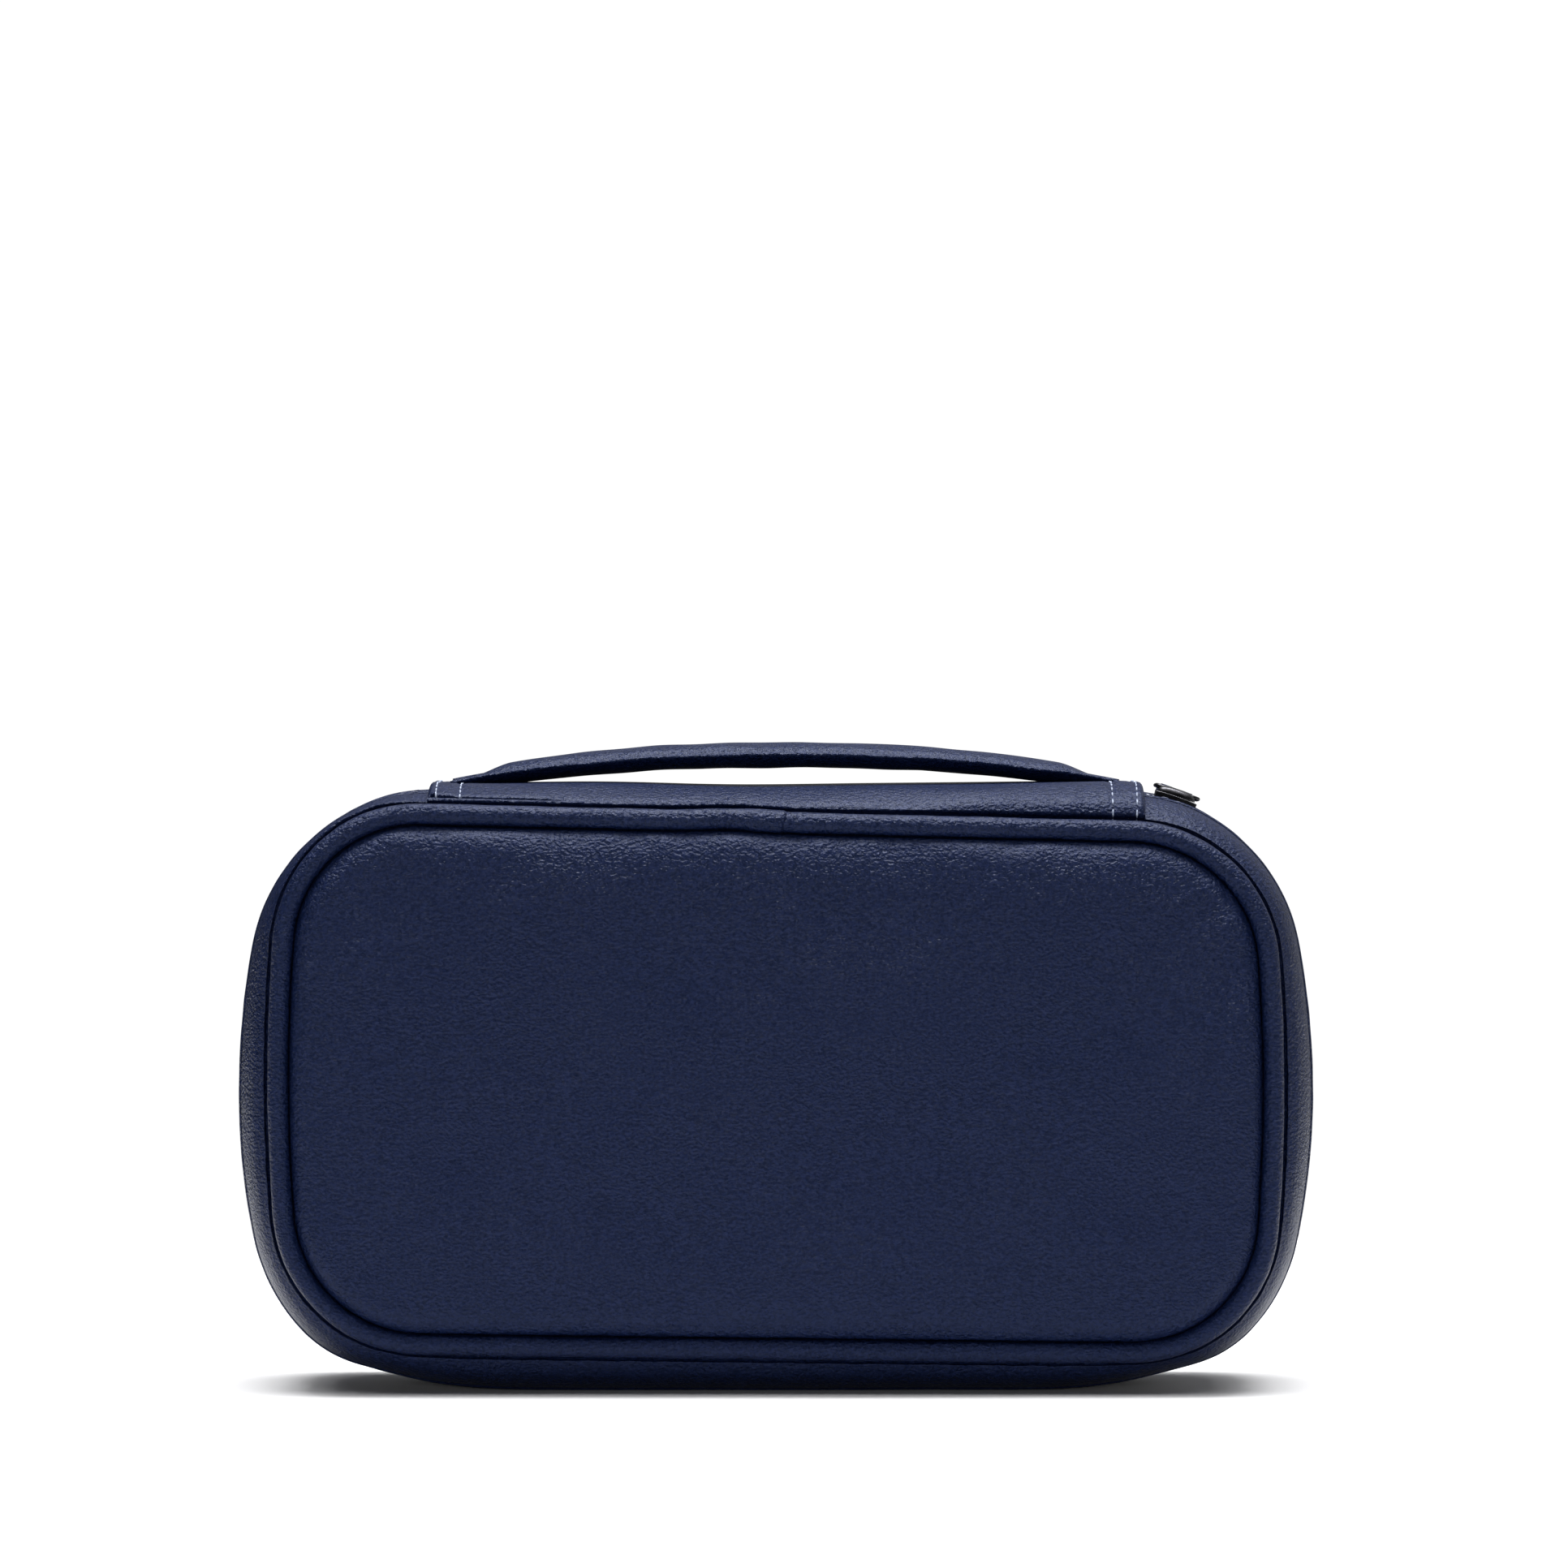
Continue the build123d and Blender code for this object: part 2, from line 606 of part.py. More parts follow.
def make_ring_rolls():
    """Padded rolls on a backing board; rings push in between them."""
    height = ROLL_COUNT * ROLL_PITCH
    board = upright_block(ROLLS_X, CONTENTS_Z, ROLL_LENGTH, height, ROLL_BASE_DEPTHS, BACK,
                          ROLL_BASE_CORNER)
    save(board, "ring_roll_base")
    for index in range(ROLL_COUNT):
        z = CONTENTS_Z + (index - (ROLL_COUNT - 1) / 2) * ROLL_PITCH
        half = ROLL_PITCH / 2 - ROLL_GAP
        with BuildPart() as roll:
            with BuildSketch(Plane(origin=(ROLLS_X - ROLL_LENGTH / 2, ROLL_BACK_DEPTH, z),
                                   x_dir=(0, 1, 0), z_dir=(1, 0, 0))):
                with BuildLine():
                    Line((0, -half), (0, half))
                    Line((0, half), (-ROLL_DEPTH + half, half))
                    ThreePointArc((-ROLL_DEPTH + half, half), (-ROLL_DEPTH, 0),
                                  (-ROLL_DEPTH + half, -half))
                    Line((-ROLL_DEPTH + half, -half), (0, -half))
                make_face()
            extrude(amount=ROLL_LENGTH)
        save(roll.part, f"ring_roll_{index + 1}")


def make_tray():
    """Open tray with a floor and three dividers."""
    outer = upright_block(TRAY_X, CONTENTS_Z, TRAY_WIDTH, TRAY_HEIGHT, TRAY_DEPTHS, BACK,
                          TRAY_CORNER)
    inner_corner = TRAY_CORNER - TRAY_WALL
    inner = upright_block(TRAY_X, CONTENTS_Z, TRAY_WIDTH - 2 * TRAY_WALL,
                          TRAY_HEIGHT - 2 * TRAY_WALL, (0, 30), BACK, inner_corner)
    save(outer - inner, "tray_wall")
    near, far = TRAY_DEPTHS
    width = TRAY_WIDTH - 2 * (TRAY_WALL + TRAY_CLEARANCE)
    height = TRAY_HEIGHT - 2 * (TRAY_WALL + TRAY_CLEARANCE)
    save(upright_block(TRAY_X, CONTENTS_Z, width, height, (far - TRAY_FLOOR, far), BACK,
                       inner_corner), "tray_floor")
    depths = (near + DIVIDER_DROP, far - TRAY_FLOOR - TRAY_CLEARANCE)
    save(upright_block(TRAY_X, CONTENTS_Z, DIVIDER_THICKNESS, height, depths, BACK),
         "tray_divider_upright")
    cell = (width - DIVIDER_THICKNESS) / 2 - TRAY_CLEARANCE
    for side, name in ((-1, "left"), (1, "right")):
        x = TRAY_X + side * (cell / 2 + DIVIDER_THICKNESS / 2 + TRAY_CLEARANCE)
        z = CONTENTS_Z + side * SHELF_OFFSET
        save(upright_block(x, z, cell, DIVIDER_THICKNESS, depths, BACK), f"tray_shelf_{name}")


def make_pocket():
    """Suede pocket in the lid, with an elastic along its mouth."""
    near, far = POCKET_DEPTHS
    z = POCKET_BASE_Z + POCKET_HEIGHT / 2
    outer = upright_block(0, z, POCKET_WIDTH, POCKET_HEIGHT, (near, far), FRONT)
    inside = upright_block(0, z + POCKET_WALL, POCKET_WIDTH - 2 * POCKET_WALL, POCKET_HEIGHT,
                           (near + POCKET_WALL, far + 1), FRONT)
    save(outer - inside, "lid_pocket")
    top = POCKET_BASE_Z + POCKET_HEIGHT
    save(upright_block(0, top + 1.6, POCKET_WIDTH, 3.0, (near - 0.2, near + 1.4), FRONT),
         "lid_pocket_elastic")


def make_necklace_tabs():
    """Strip with hanging tabs, each closed by a snap on a post."""
    strip_width = TAB_PITCH * (TAB_COUNT - 1) + TAB_WIDTH + 12
    depths = (TAB_DEPTH - 0.9, LID_LINING_DEPTH)
    save(upright_block(0, STRIP_Z, strip_width, STRIP_HEIGHT, depths, FRONT, 1.5),
         "necklace_strip")
    posts = []
    snap_z = TAB_AXIS_Z - TAB_LENGTH + SNAP_RISE
    for index in range(TAB_COUNT):
        x = (index - (TAB_COUNT - 1) / 2) * TAB_PITCH
        depths = (TAB_DEPTH - TAB_THICKNESS / 2, TAB_DEPTH + TAB_THICKNESS / 2)
        with BuildPart() as tab:
            with BuildSketch(Plane(origin=(x, -depths[0], TAB_AXIS_Z), x_dir=(1, 0, 0),
                                   z_dir=(0, -1, 0))) as outline:
                with Locations((0, -TAB_LENGTH / 2)):
                    Rectangle(TAB_WIDTH, TAB_LENGTH)
                fillet(outline.vertices().group_by(Axis.Z)[0], TAB_CORNER)
            extrude(amount=TAB_THICKNESS)
            with BuildSketch(Plane(origin=(x - TAB_WIDTH / 2, -TAB_DEPTH, TAB_AXIS_Z),
                                   x_dir=(0, 1, 0), z_dir=(1, 0, 0))):
                Circle(TAB_THICKNESS / 2)
            extrude(amount=TAB_WIDTH)
        save(tab.part, f"necklace_tab_{index + 1}")
        with BuildPart() as cap:
            with BuildSketch(Plane(origin=(x, -depths[0] + 0.05, snap_z), x_dir=(1, 0, 0),
                                   z_dir=(0, 1, 0))):
                Circle(SNAP_CAP_RADIUS)
            extrude(amount=1.3)
            fillet(cap.faces().sort_by(Axis.Y)[-1].edges(), 0.8)
        save(cap.part, f"snap_cap_{index + 1}")
        posts.append((x, snap_z))
    with BuildPart() as group:
        with BuildSketch(Plane(origin=(0, -LID_LINING_DEPTH, 0), x_dir=(1, 0, 0), z_dir=(0, 1, 0))):
            with Locations(*[(x, -z) for x, z in posts]):
                Circle(SNAP_POST_RADIUS)
        extrude(amount=LID_LINING_DEPTH - TAB_DEPTH - TAB_THICKNESS / 2 - 0.3)
    save(group.part, "snap_posts")


def make_case():
    os.makedirs("parts", exist_ok=True)
    make_panel(FRONT, "front")
    make_panel(BACK, "back")
    make_piping(FRONT, "front")
    make_piping(BACK, "back")
    make_gusset(FRONT, "front", ZIP_Y - WINDOW_HALF, ZIP_Y - FOLD_GAP)
    make_gusset(BACK, "back", ZIP_Y + WINDOW_HALF, ZIP_Y + FOLD_GAP)
    make_handle()
    make_zip()
    make_slider()
    make_pull()
    make_ring_rolls()
    make_tray()
    make_pocket()
    make_necklace_tabs()


make_case()
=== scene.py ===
import math
import bmesh
import bpy
import numpy as np
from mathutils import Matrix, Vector


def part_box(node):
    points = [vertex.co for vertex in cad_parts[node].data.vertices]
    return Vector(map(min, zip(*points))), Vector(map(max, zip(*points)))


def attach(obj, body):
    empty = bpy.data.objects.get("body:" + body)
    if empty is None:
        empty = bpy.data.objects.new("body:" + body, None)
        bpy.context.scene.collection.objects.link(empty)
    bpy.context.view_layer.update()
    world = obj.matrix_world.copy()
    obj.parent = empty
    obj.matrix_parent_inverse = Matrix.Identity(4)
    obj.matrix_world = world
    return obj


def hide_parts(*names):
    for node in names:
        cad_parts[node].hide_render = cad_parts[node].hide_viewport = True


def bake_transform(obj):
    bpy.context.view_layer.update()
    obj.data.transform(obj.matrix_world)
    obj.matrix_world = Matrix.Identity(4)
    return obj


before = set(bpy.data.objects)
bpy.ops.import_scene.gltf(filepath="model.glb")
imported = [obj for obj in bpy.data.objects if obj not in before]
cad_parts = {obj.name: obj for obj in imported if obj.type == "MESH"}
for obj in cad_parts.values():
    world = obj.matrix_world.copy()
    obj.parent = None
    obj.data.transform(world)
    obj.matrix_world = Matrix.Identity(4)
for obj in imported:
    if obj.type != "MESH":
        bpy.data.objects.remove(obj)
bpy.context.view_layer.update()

# Shapes are worked out in millimetres, in the frame's axes: X right, Y back, Z up.
MM = 0.001
LID = "lid"
BACK_HALF = "back_half"
FRONT = -1
BACK = 1


def node_box(node):
    """Lowest and highest corners of a CAD node, in millimetres."""
    low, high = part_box(node)
    return np.array(low) / MM, np.array(high) / MM


# ---------------------------------------------------------------- sizes taken from the frame
gusset_low, gusset_high = node_box("back_gusset_leather")
piping_low, piping_high = node_box("front_piping")
panel_high = node_box("front_panel_leather")[1]
spine_low, spine_high = node_box("back_spine_leather")
handle_low, handle_high = node_box("handle_top_leather")

PIPING_RADIUS = (piping_high[1] - piping_low[1]) / 2
SEAM_DEPTH = -(piping_high[1] + piping_low[1]) / 2
CASE_HALF_WIDTH = (gusset_high[0] - gusset_low[0]) / 2
CASE_HALF_HEIGHT = (spine_high[2] - 1.1) / 2
CASE_MIDDLE = CASE_HALF_HEIGHT
SEAM_HALF_WIDTH = (piping_high[0] - piping_low[0]) / 2 - PIPING_RADIUS
SEAM_HALF_HEIGHT = (piping_high[2] - piping_low[2]) / 2 - PIPING_RADIUS
SEAM_MIDDLE = (piping_high[2] + piping_low[2]) / 2
PANEL_GAP = piping_high[0] - PIPING_RADIUS - panel_high[0]
SPINE_LEFT = spine_low[0]
SPINE_RIGHT = spine_high[0]

# Radii of the outlines: bowed short sides and round corners
SIDE_RADIUS = 169.2
CORNER_RADIUS = 42.1
SEAM_SIDE_RADIUS = 395.0
SEAM_CORNER_RADIUS = 30.6

# Zip
ZIP_Y = -6.0
WINDOW_HALF = 5.0
SLIDER_ANGLE = 70.6

# Samples along each quarter of an outline: half the top, the corner, half the side
TOP_STEPS = 76
CORNER_STEPS = 54
SIDE_STEPS = 32
LOOP = 4 * (TOP_STEPS + CORNER_STEPS + SIDE_STEPS)


# ---------------------------------------------------------------- outlines
def ring_shape(share, inset=0.0):
    """Outline between the seam (share 0) and the gusset's widest line (share 1)."""
    curvature = (1 - share) / SEAM_SIDE_RADIUS + share / SIDE_RADIUS
    corner = SEAM_CORNER_RADIUS + share * (CORNER_RADIUS - SEAM_CORNER_RADIUS)
    return {
        "half_width": SEAM_HALF_WIDTH + share * (CASE_HALF_WIDTH - SEAM_HALF_WIDTH) - inset,
        "half_height": SEAM_HALF_HEIGHT + share * (CASE_HALF_HEIGHT - SEAM_HALF_HEIGHT) - inset,
        "side": 1 / curvature - inset,
        "corner": corner - inset,
        "middle": SEAM_MIDDLE + share * (CASE_MIDDLE - SEAM_MIDDLE),
    }


def corner_of(shape):
    """Centre of the upper right corner arc, and the angle where it meets the side."""
    z = shape["half_height"] - shape["corner"]
    side_centre = shape["half_width"] - shape["side"]
    x = side_centre + math.sqrt((shape["side"] - shape["corner"]) ** 2 - z ** 2)
    return x, z, math.atan2(z, x - side_centre)


def loop_of(shape):
    """Points and outward normals of a whole outline, clockwise from the middle of the top."""
    cx, cz, tilt = corner_of(shape)
    along = np.linspace(0, 1, TOP_STEPS, endpoint=False)
    top = np.stack([cx * along, np.full(TOP_STEPS, shape["half_height"]),
                    np.zeros(TOP_STEPS), np.ones(TOP_STEPS)], axis=1)
    angle = np.linspace(math.pi / 2, tilt, CORNER_STEPS, endpoint=False)
    corner = np.stack([cx + shape["corner"] * np.cos(angle), cz + shape["corner"] * np.sin(angle),
                       np.cos(angle), np.sin(angle)], axis=1)
    angle = np.linspace(tilt, 0, SIDE_STEPS + 1)
    side_centre = shape["half_width"] - shape["side"]
    side = np.stack([side_centre + shape["side"] * np.cos(angle), shape["side"] * np.sin(angle),
                     np.cos(angle), np.sin(angle)], axis=1)
    quarter = np.concatenate([top, corner, side])
    down = (quarter * [1, -1, 1, -1])[::-1]
    left = quarter * [-1, -1, -1, -1]
    up = (quarter * [-1, 1, -1, 1])[::-1]
    loop = np.concatenate([quarter[:-1], down[:-1], left[:-1], up[:-1]])
    return loop + [0, shape["middle"], 0, 0]


def smooth_step(low, high, value):
    """Smooth rise from 0 at low to 1 at high."""
    t = np.clip((np.asarray(value, float) - low) / (high - low), 0, 1)
    return t * t * (3 - 2 * t)


def share_at(depth):
    """Rounded shoulder of the gusset: share of its full size at a depth from the mid-plane."""
    start, bulge, roundness = 8.0, 2.5, 0.74
    t = np.clip((np.abs(depth) - start) / (SEAM_DEPTH - start), 0, 1)
    return (1 - t ** bulge) ** roundness


def seam_drift(x, z, facing):
    """How far a seam strays from its even line: it runs down to one side, with a small hump."""
    upper = np.clip((z - CASE_MIDDLE) / 60, 0, 1)
    if facing == FRONT:
        return -0.012 * x * (1 + upper) + 0.55 * upper * np.exp(-((x + 10) / 9) ** 2)
    return 0.006 * x * (1 + upper)


def closed_wave(count, waves, seed):
    """Smooth uneven wave round a loop, about 1 high."""
    rng = np.random.default_rng(seed)
    t = np.linspace(0, 2 * math.pi, count, endpoint=False)
    total = np.zeros(count)
    for wave in waves:
        total += rng.normal() * np.sin(wave * t + rng.uniform(0, 2 * math.pi))
    return total / math.sqrt(len(waves))


def soft_noise(x, z, size, seed):
    """Smooth noise over a flat field, about 1 high, with features of this size."""
    rng = np.random.default_rng(seed)
    total = np.zeros(np.broadcast(x, z).shape)
    parts = 14
    for _ in range(parts):
        turn = rng.uniform(0, math.pi)
        wave = rng.uniform(0.6, 1.6) * 2 * math.pi / size
        phase = rng.uniform(0, 2 * math.pi)
        total += np.sin(wave * (x * math.cos(turn) + z * math.sin(turn)) + phase)
    return total / math.sqrt(parts)


def settle(points, weight=1.0):
    """The soft case's base is slightly bowed: its ends lift off the floor."""
    x, z = points[..., 0], points[..., 2]
    lift = 2.3 * np.exp(-((np.abs(x) - 86) / 14) ** 2) * (1 - smooth_step(2, 17, z))
    moved = points.copy()
    moved[..., 2] += weight * lift
    return moved


# ---------------------------------------------------------------- meshes
def add_mesh(name, points, faces, smooth=True):
    """New object from points in millimetres."""
    mesh = bpy.data.meshes.new(name)
    mesh.from_pydata((np.asarray(points, float).reshape(-1, 3) * MM).tolist(), [], faces)
    mesh.polygons.foreach_set("use_smooth", [smooth] * len(mesh.polygons))
    mesh.update()
    piece = bpy.data.objects.new(name, mesh)
    bpy.context.scene.collection.objects.link(piece)
    return piece


def grid_faces(rows, columns, close_rows=False, close_columns=False, flip=False):
    """Quads over a grid of points; rows or columns may close on themselves."""
    faces = []
    for row in range(rows if close_rows else rows - 1):
        low = row * columns
        high = ((row + 1) % rows) * columns
        for column in range(columns if close_columns else columns - 1):
            beside = (column + 1) % columns
            face = (low + column, low + beside, high + beside, high + column)
            faces.append(face[::-1] if flip else face)
    return faces


def end_caps(rows, columns, flip=False):
    """Faces that close the first and the last ring of a grid."""
    caps = [tuple(range(columns))[::-1], tuple(range((rows - 1) * columns, rows * columns))]
    return [cap[::-1] for cap in caps] if flip else caps


def merge(parts):
    """One point array and face list from several."""
    points = []
    faces = []
    count = 0
    for part_points, part_faces in parts:
        part_points = np.asarray(part_points, float).reshape(-1, 3)
        points.append(part_points)
        faces.extend(tuple(index + count for index in face) for face in part_faces)
        count += len(part_points)
    return np.concatenate(points), faces


def normals_of(grid):
    """Unit normals of a grid of points with shape (rows, columns, 3)."""
    down = np.gradient(grid, axis=0)
    along = np.gradient(grid, axis=1)
    normal = np.cross(along, down)
    return normal / np.maximum(np.linalg.norm(normal, axis=2, keepdims=True), 1e-9)


def tube_along(path, radius, sides=12, closed=False, up=(0, 1, 0)):
    """Round tube along a list of points; radius may change along it."""
    path = np.asarray(path, float)
    count = len(path)
    radius = np.broadcast_to(np.asarray(radius, float), (count,))
    if closed:
        tangent = np.roll(path, -1, axis=0) - np.roll(path, 1, axis=0)
    else:
        tangent = np.gradient(path, axis=0)
    tangent /= np.maximum(np.linalg.norm(tangent, axis=1, keepdims=True), 1e-9)
    side = np.cross(tangent, np.asarray(up, float))
    side /= np.maximum(np.linalg.norm(side, axis=1, keepdims=True), 1e-9)
    other = np.cross(side, tangent)
    angle = np.linspace(0, 2 * math.pi, sides, endpoint=False)
    rings = (path[:, None, :]
             + radius[:, None, None] * (np.cos(angle)[None, :, None] * side[:, None, :]
                                        + np.sin(angle)[None, :, None] * other[:, None, :]))
    faces = grid_faces(count, sides, close_rows=closed, close_columns=True)
    if not closed:
        faces += end_caps(count, sides)
    return rings.reshape(-1, 3), faces


def stitch_mesh(places, length, radius=0.26, proud=0.22):
    """Row of thread stitches; each place is (point, direction, outward normal)."""
    parts = []
    for point, direction, normal in places:
        point, direction, normal = (np.asarray(v, float) for v in (point, direction, normal))
        t = np.linspace(-0.5, 0.5, 7)
        rise = proud - 7.6 * t ** 4
        path = point + direction * (t * length)[:, None] + normal * rise[:, None]
        thin = radius * np.sqrt(np.clip(1 - (2 * np.abs(t)) ** 4, 0.12, 1))
        parts.append(tube_along(path, thin, 6, up=normal))
    return merge(parts)


# ---------------------------------------------------------------- materials
def new_material(name):
    """Empty node material with a Principled shader; returns it with its tree and shader."""
    material = bpy.data.materials.new(name)
    material.use_nodes = True
    tree = material.node_tree
    return material, tree, tree.nodes["Principled BSDF"]


def node(tree, kind, inputs=None, **settings):
    """New node with its settings and unlinked inputs."""
    made = tree.nodes.new("ShaderNode" + kind)
    for key, value in settings.items():
        setattr(made, key, value)
    for key, value in (inputs or {}).items():
        made.inputs[key].default_value = value
    return made


def place(tree, scale=(1, 1, 1)):
    """Object coordinates, scaled."""
    coordinates = node(tree, "TexCoord")
    mapping = node(tree, "Mapping", {"Scale": scale})
    tree.links.new(coordinates.outputs["Object"], mapping.inputs["Vector"])
    return mapping.outputs["Vector"]


def noise(tree, vector, scale, detail=3.0, roughness=0.55):
    """Noise texture on a vector."""
    texture = node(tree, "TexNoise", {"Scale": scale, "Detail": detail, "Roughness": roughness})
    tree.links.new(vector, texture.inputs["Vector"])
    return texture.outputs["Fac"]


def ramp(tree, value, stops):
    """Colour ramp; stops are (place, colour)."""
    made = node(tree, "ValToRGB")
    elements = made.color_ramp.elements
    while len(elements) < len(stops):
        elements.new(0.5)
    for element, (position, colour) in zip(elements, stops):
        element.position = position
        element.color = (*colour, 1) if len(colour) == 3 else (colour[0],) * 3 + (1,)
    tree.links.new(value, made.inputs["Fac"])
    return made.outputs["Color"]


def maths(tree, operation, first, second=None):
    """Math node; each input is a socket or a number."""
    made = node(tree, "Math", operation=operation)
    for index, value in enumerate((first, second)):
        if value is None:
            continue
        if isinstance(value, (int, float)):
            made.inputs[index].default_value = value
        else:
            tree.links.new(value, made.inputs[index])
    return made.outputs[0]


def bump(tree, shader, heights):
    """Chain of bumps on a shader; heights are (socket, strength, distance in metres)."""
    normal = None
    for height, strength, distance in heights:
        made = node(tree, "Bump", {"Strength": strength, "Distance": distance})
        tree.links.new(height, made.inputs["Height"])
        if normal is not None:
            tree.links.new(normal, made.inputs["Normal"])
        normal = made.outputs["Normal"]
    tree.links.new(normal, shader.inputs["Normal"])


def mix_colour(tree, factor, first, second):
    """Mix of two colours; each is a socket or a colour."""
    made = node(tree, "Mix", data_type="RGBA", blend_type="MIX")
    for index, value in ((0, factor), (6, first), (7, second)):
        if isinstance(value, (int, float)):
            made.inputs[index].default_value = value
        elif isinstance(value, tuple):
            made.inputs[index].default_value = (*value, 1)
        else:
            tree.links.new(value, made.inputs[index])
    return made.outputs[2]


GLOSSIEST, DULLEST = 0.31, 0.41


def leather(name, dark, base, light, wrinkles=False):
    """Smooth full-grain leather: fine pebbles, soft creases, pores and drifting colour, with a
    painted highlight on the grain's tops.
    """
    material, tree, shader = new_material(name)
    even = place(tree)
    drift = noise(tree, even, 9.0, 3.0)
    fine = noise(tree, place(tree, (0.85, 0.85, 1.12)), 1500.0, 3.0, 0.6)
    # Cells wander with a fine warp, so that no two creases run alike
    warp = node(tree, "TexNoise", {"Scale": 620.0, "Detail": 2.0})
    tree.links.new(even, warp.inputs["Vector"])
    shifted = node(tree, "VectorMath", {1: (0.0014, 0.0014, 0.0014)}, operation="MULTIPLY_ADD")
    tree.links.new(warp.outputs["Color"], shifted.inputs[0])
    tree.links.new(place(tree, (0.8, 0.8, 1.15)), shifted.inputs[2])
    edges = node(tree, "TexVoronoi", {"Scale": 1400.0}, feature="SMOOTH_F1")
    tree.links.new(shifted.outputs[0], edges.inputs["Vector"])
    pebble = ramp(tree, edges.outputs["Distance"], [(0.08, (1.0,)), (0.62, (0.0,))])
    pores = noise(tree, even, 5200.0, 2.0, 0.7)
    patch = ramp(tree, noise(tree, even, 34.0, 3.0), [(0.36, (0.5,)), (0.66, (1.0,))])
    relief = maths(tree, "MULTIPLY", pebble, patch)
    heights = [(noise(tree, place(tree, (0.8, 0.8, 1.5)), 190.0, 2.0, 0.5), 0.05, 0.0005),
               (relief, 1.0, 0.00024), (fine, 1.0, 0.00032), (pores, 0.4, 0.00008)]
    if wrinkles:
        heights.insert(1, (wrinkle_height(tree), 0.16, 0.00018))
    bump(tree, shader, heights)
    colour = mix_colour(tree, drift, dark, base)
    # Painted highlight: the grain's tops and pebble centres are painted lighter, which leaves the
    # creases between them as painted shade.
    painted_grain_highlight = ramp(tree, fine, [(0.40, (0.0,)), (0.60, (0.75,))])
    colour = mix_colour(tree, maths(tree, "MAXIMUM", painted_grain_highlight, maths(tree, "MULTIPLY", relief, 0.3)),
                        colour, light)
    tree.links.new(colour, shader.inputs["Base Color"])
    rough = ramp(tree, maths(tree, "ADD", maths(tree, "MULTIPLY", drift, 0.5),
                             maths(tree, "MULTIPLY", fine, 0.5)),
                 [(0.35, (GLOSSIEST,)), (0.65, (DULLEST,))])
    tree.links.new(rough, shader.inputs["Roughness"])
    shader.inputs["Specular IOR Level"].default_value = 0.20
    shader.inputs["Specular Tint"].default_value = (0.60, 0.69, 1.0, 1)
    return material


# Places on the panel where the leather is creased, in metres: x, z and reach
CREASED = ((-0.090, 0.108, 0.024), (0.000, 0.036, 0.026), (0.098, 0.033, 0.014))


def wrinkle_height(tree):
    """Fine slanting creases, strong in a few places and faint elsewhere."""
    turned = node(tree, "Mapping", {"Rotation": (0, math.radians(22), 0), "Scale": (0.36, 1, 1.2)})
    warp = node(tree, "TexNoise", {"Scale": 160.0, "Detail": 2.0})
    tree.links.new(place(tree), warp.inputs["Vector"])
    shifted = node(tree, "VectorMath", {1: (0.004, 0.004, 0.004)}, operation="MULTIPLY_ADD")
    tree.links.new(warp.outputs["Color"], shifted.inputs[0])
    tree.links.new(place(tree), shifted.inputs[2])
    tree.links.new(shifted.outputs[0], turned.inputs["Vector"])
    lines = node(tree, "TexVoronoi", {"Scale": 560.0}, feature="DISTANCE_TO_EDGE")
    tree.links.new(turned.outputs[0], lines.inputs["Vector"])
    crease = ramp(tree, lines.outputs["Distance"], [(0.0, (0.0,)), (0.14, (0.8,)), (0.4, (1.0,))])
    where = ramp(tree, noise(tree, place(tree, (0.8, 1.0, 1.3)), 19.0, 2.0),
                 [(0.55, (0.0,)), (0.75, (0.4,))])
    for x, z, reach in CREASED:
        away = node(tree, "VectorMath", operation="DISTANCE")
        tree.links.new(place(tree, (1, 0, 1)), away.inputs[0])
        away.inputs[1].default_value = (x, 0, z)
        near = ramp(tree, maths(tree, "DIVIDE", away.outputs["Value"], reach),
                    [(0.25, (1.0,)), (1.0, (0.0,))])
        where = maths(tree, "MAXIMUM", where, near)
    return maths(tree, "MULTIPLY", crease, where)


def suede(name, dark, light):
    """Short-napped suede: soft patches of brushed pile, fine fibre and a sheen."""
    material, tree, shader = new_material(name)
    even = place(tree)
    patches = noise(tree, place(tree, (1.0, 1.0, 0.6)), 46.0, 4.0, 0.6)
    fibre = noise(tree, place(tree, (1.0, 1.0, 0.4)), 3200.0, 3.0, 0.75)
    mixed = maths(tree, "ADD", maths(tree, "MULTIPLY", patches, 0.7),
                  maths(tree, "MULTIPLY", fibre, 0.3))
    tree.links.new(ramp(tree, mixed, [(0.3, dark), (0.7, light)]), shader.inputs["Base Color"])
    bump(tree, shader, [(patches, 0.12, 0.0006), (fibre, 0.35, 0.00012),
                        (noise(tree, even, 900.0, 2.0), 0.2, 0.0001)])
    tree.links.new(ramp(tree, fibre, [(0.3, (0.82,)), (0.7, (0.97,))]), shader.inputs["Roughness"])
    shader.inputs["Specular IOR Level"].default_value = 0.2
    shader.inputs["Sheen Weight"].default_value = 0.35
    shader.inputs["Sheen Roughness"].default_value = 0.45
    shader.inputs["Sheen Tint"].default_value = (0.95, 0.92, 0.88, 1)
    return material


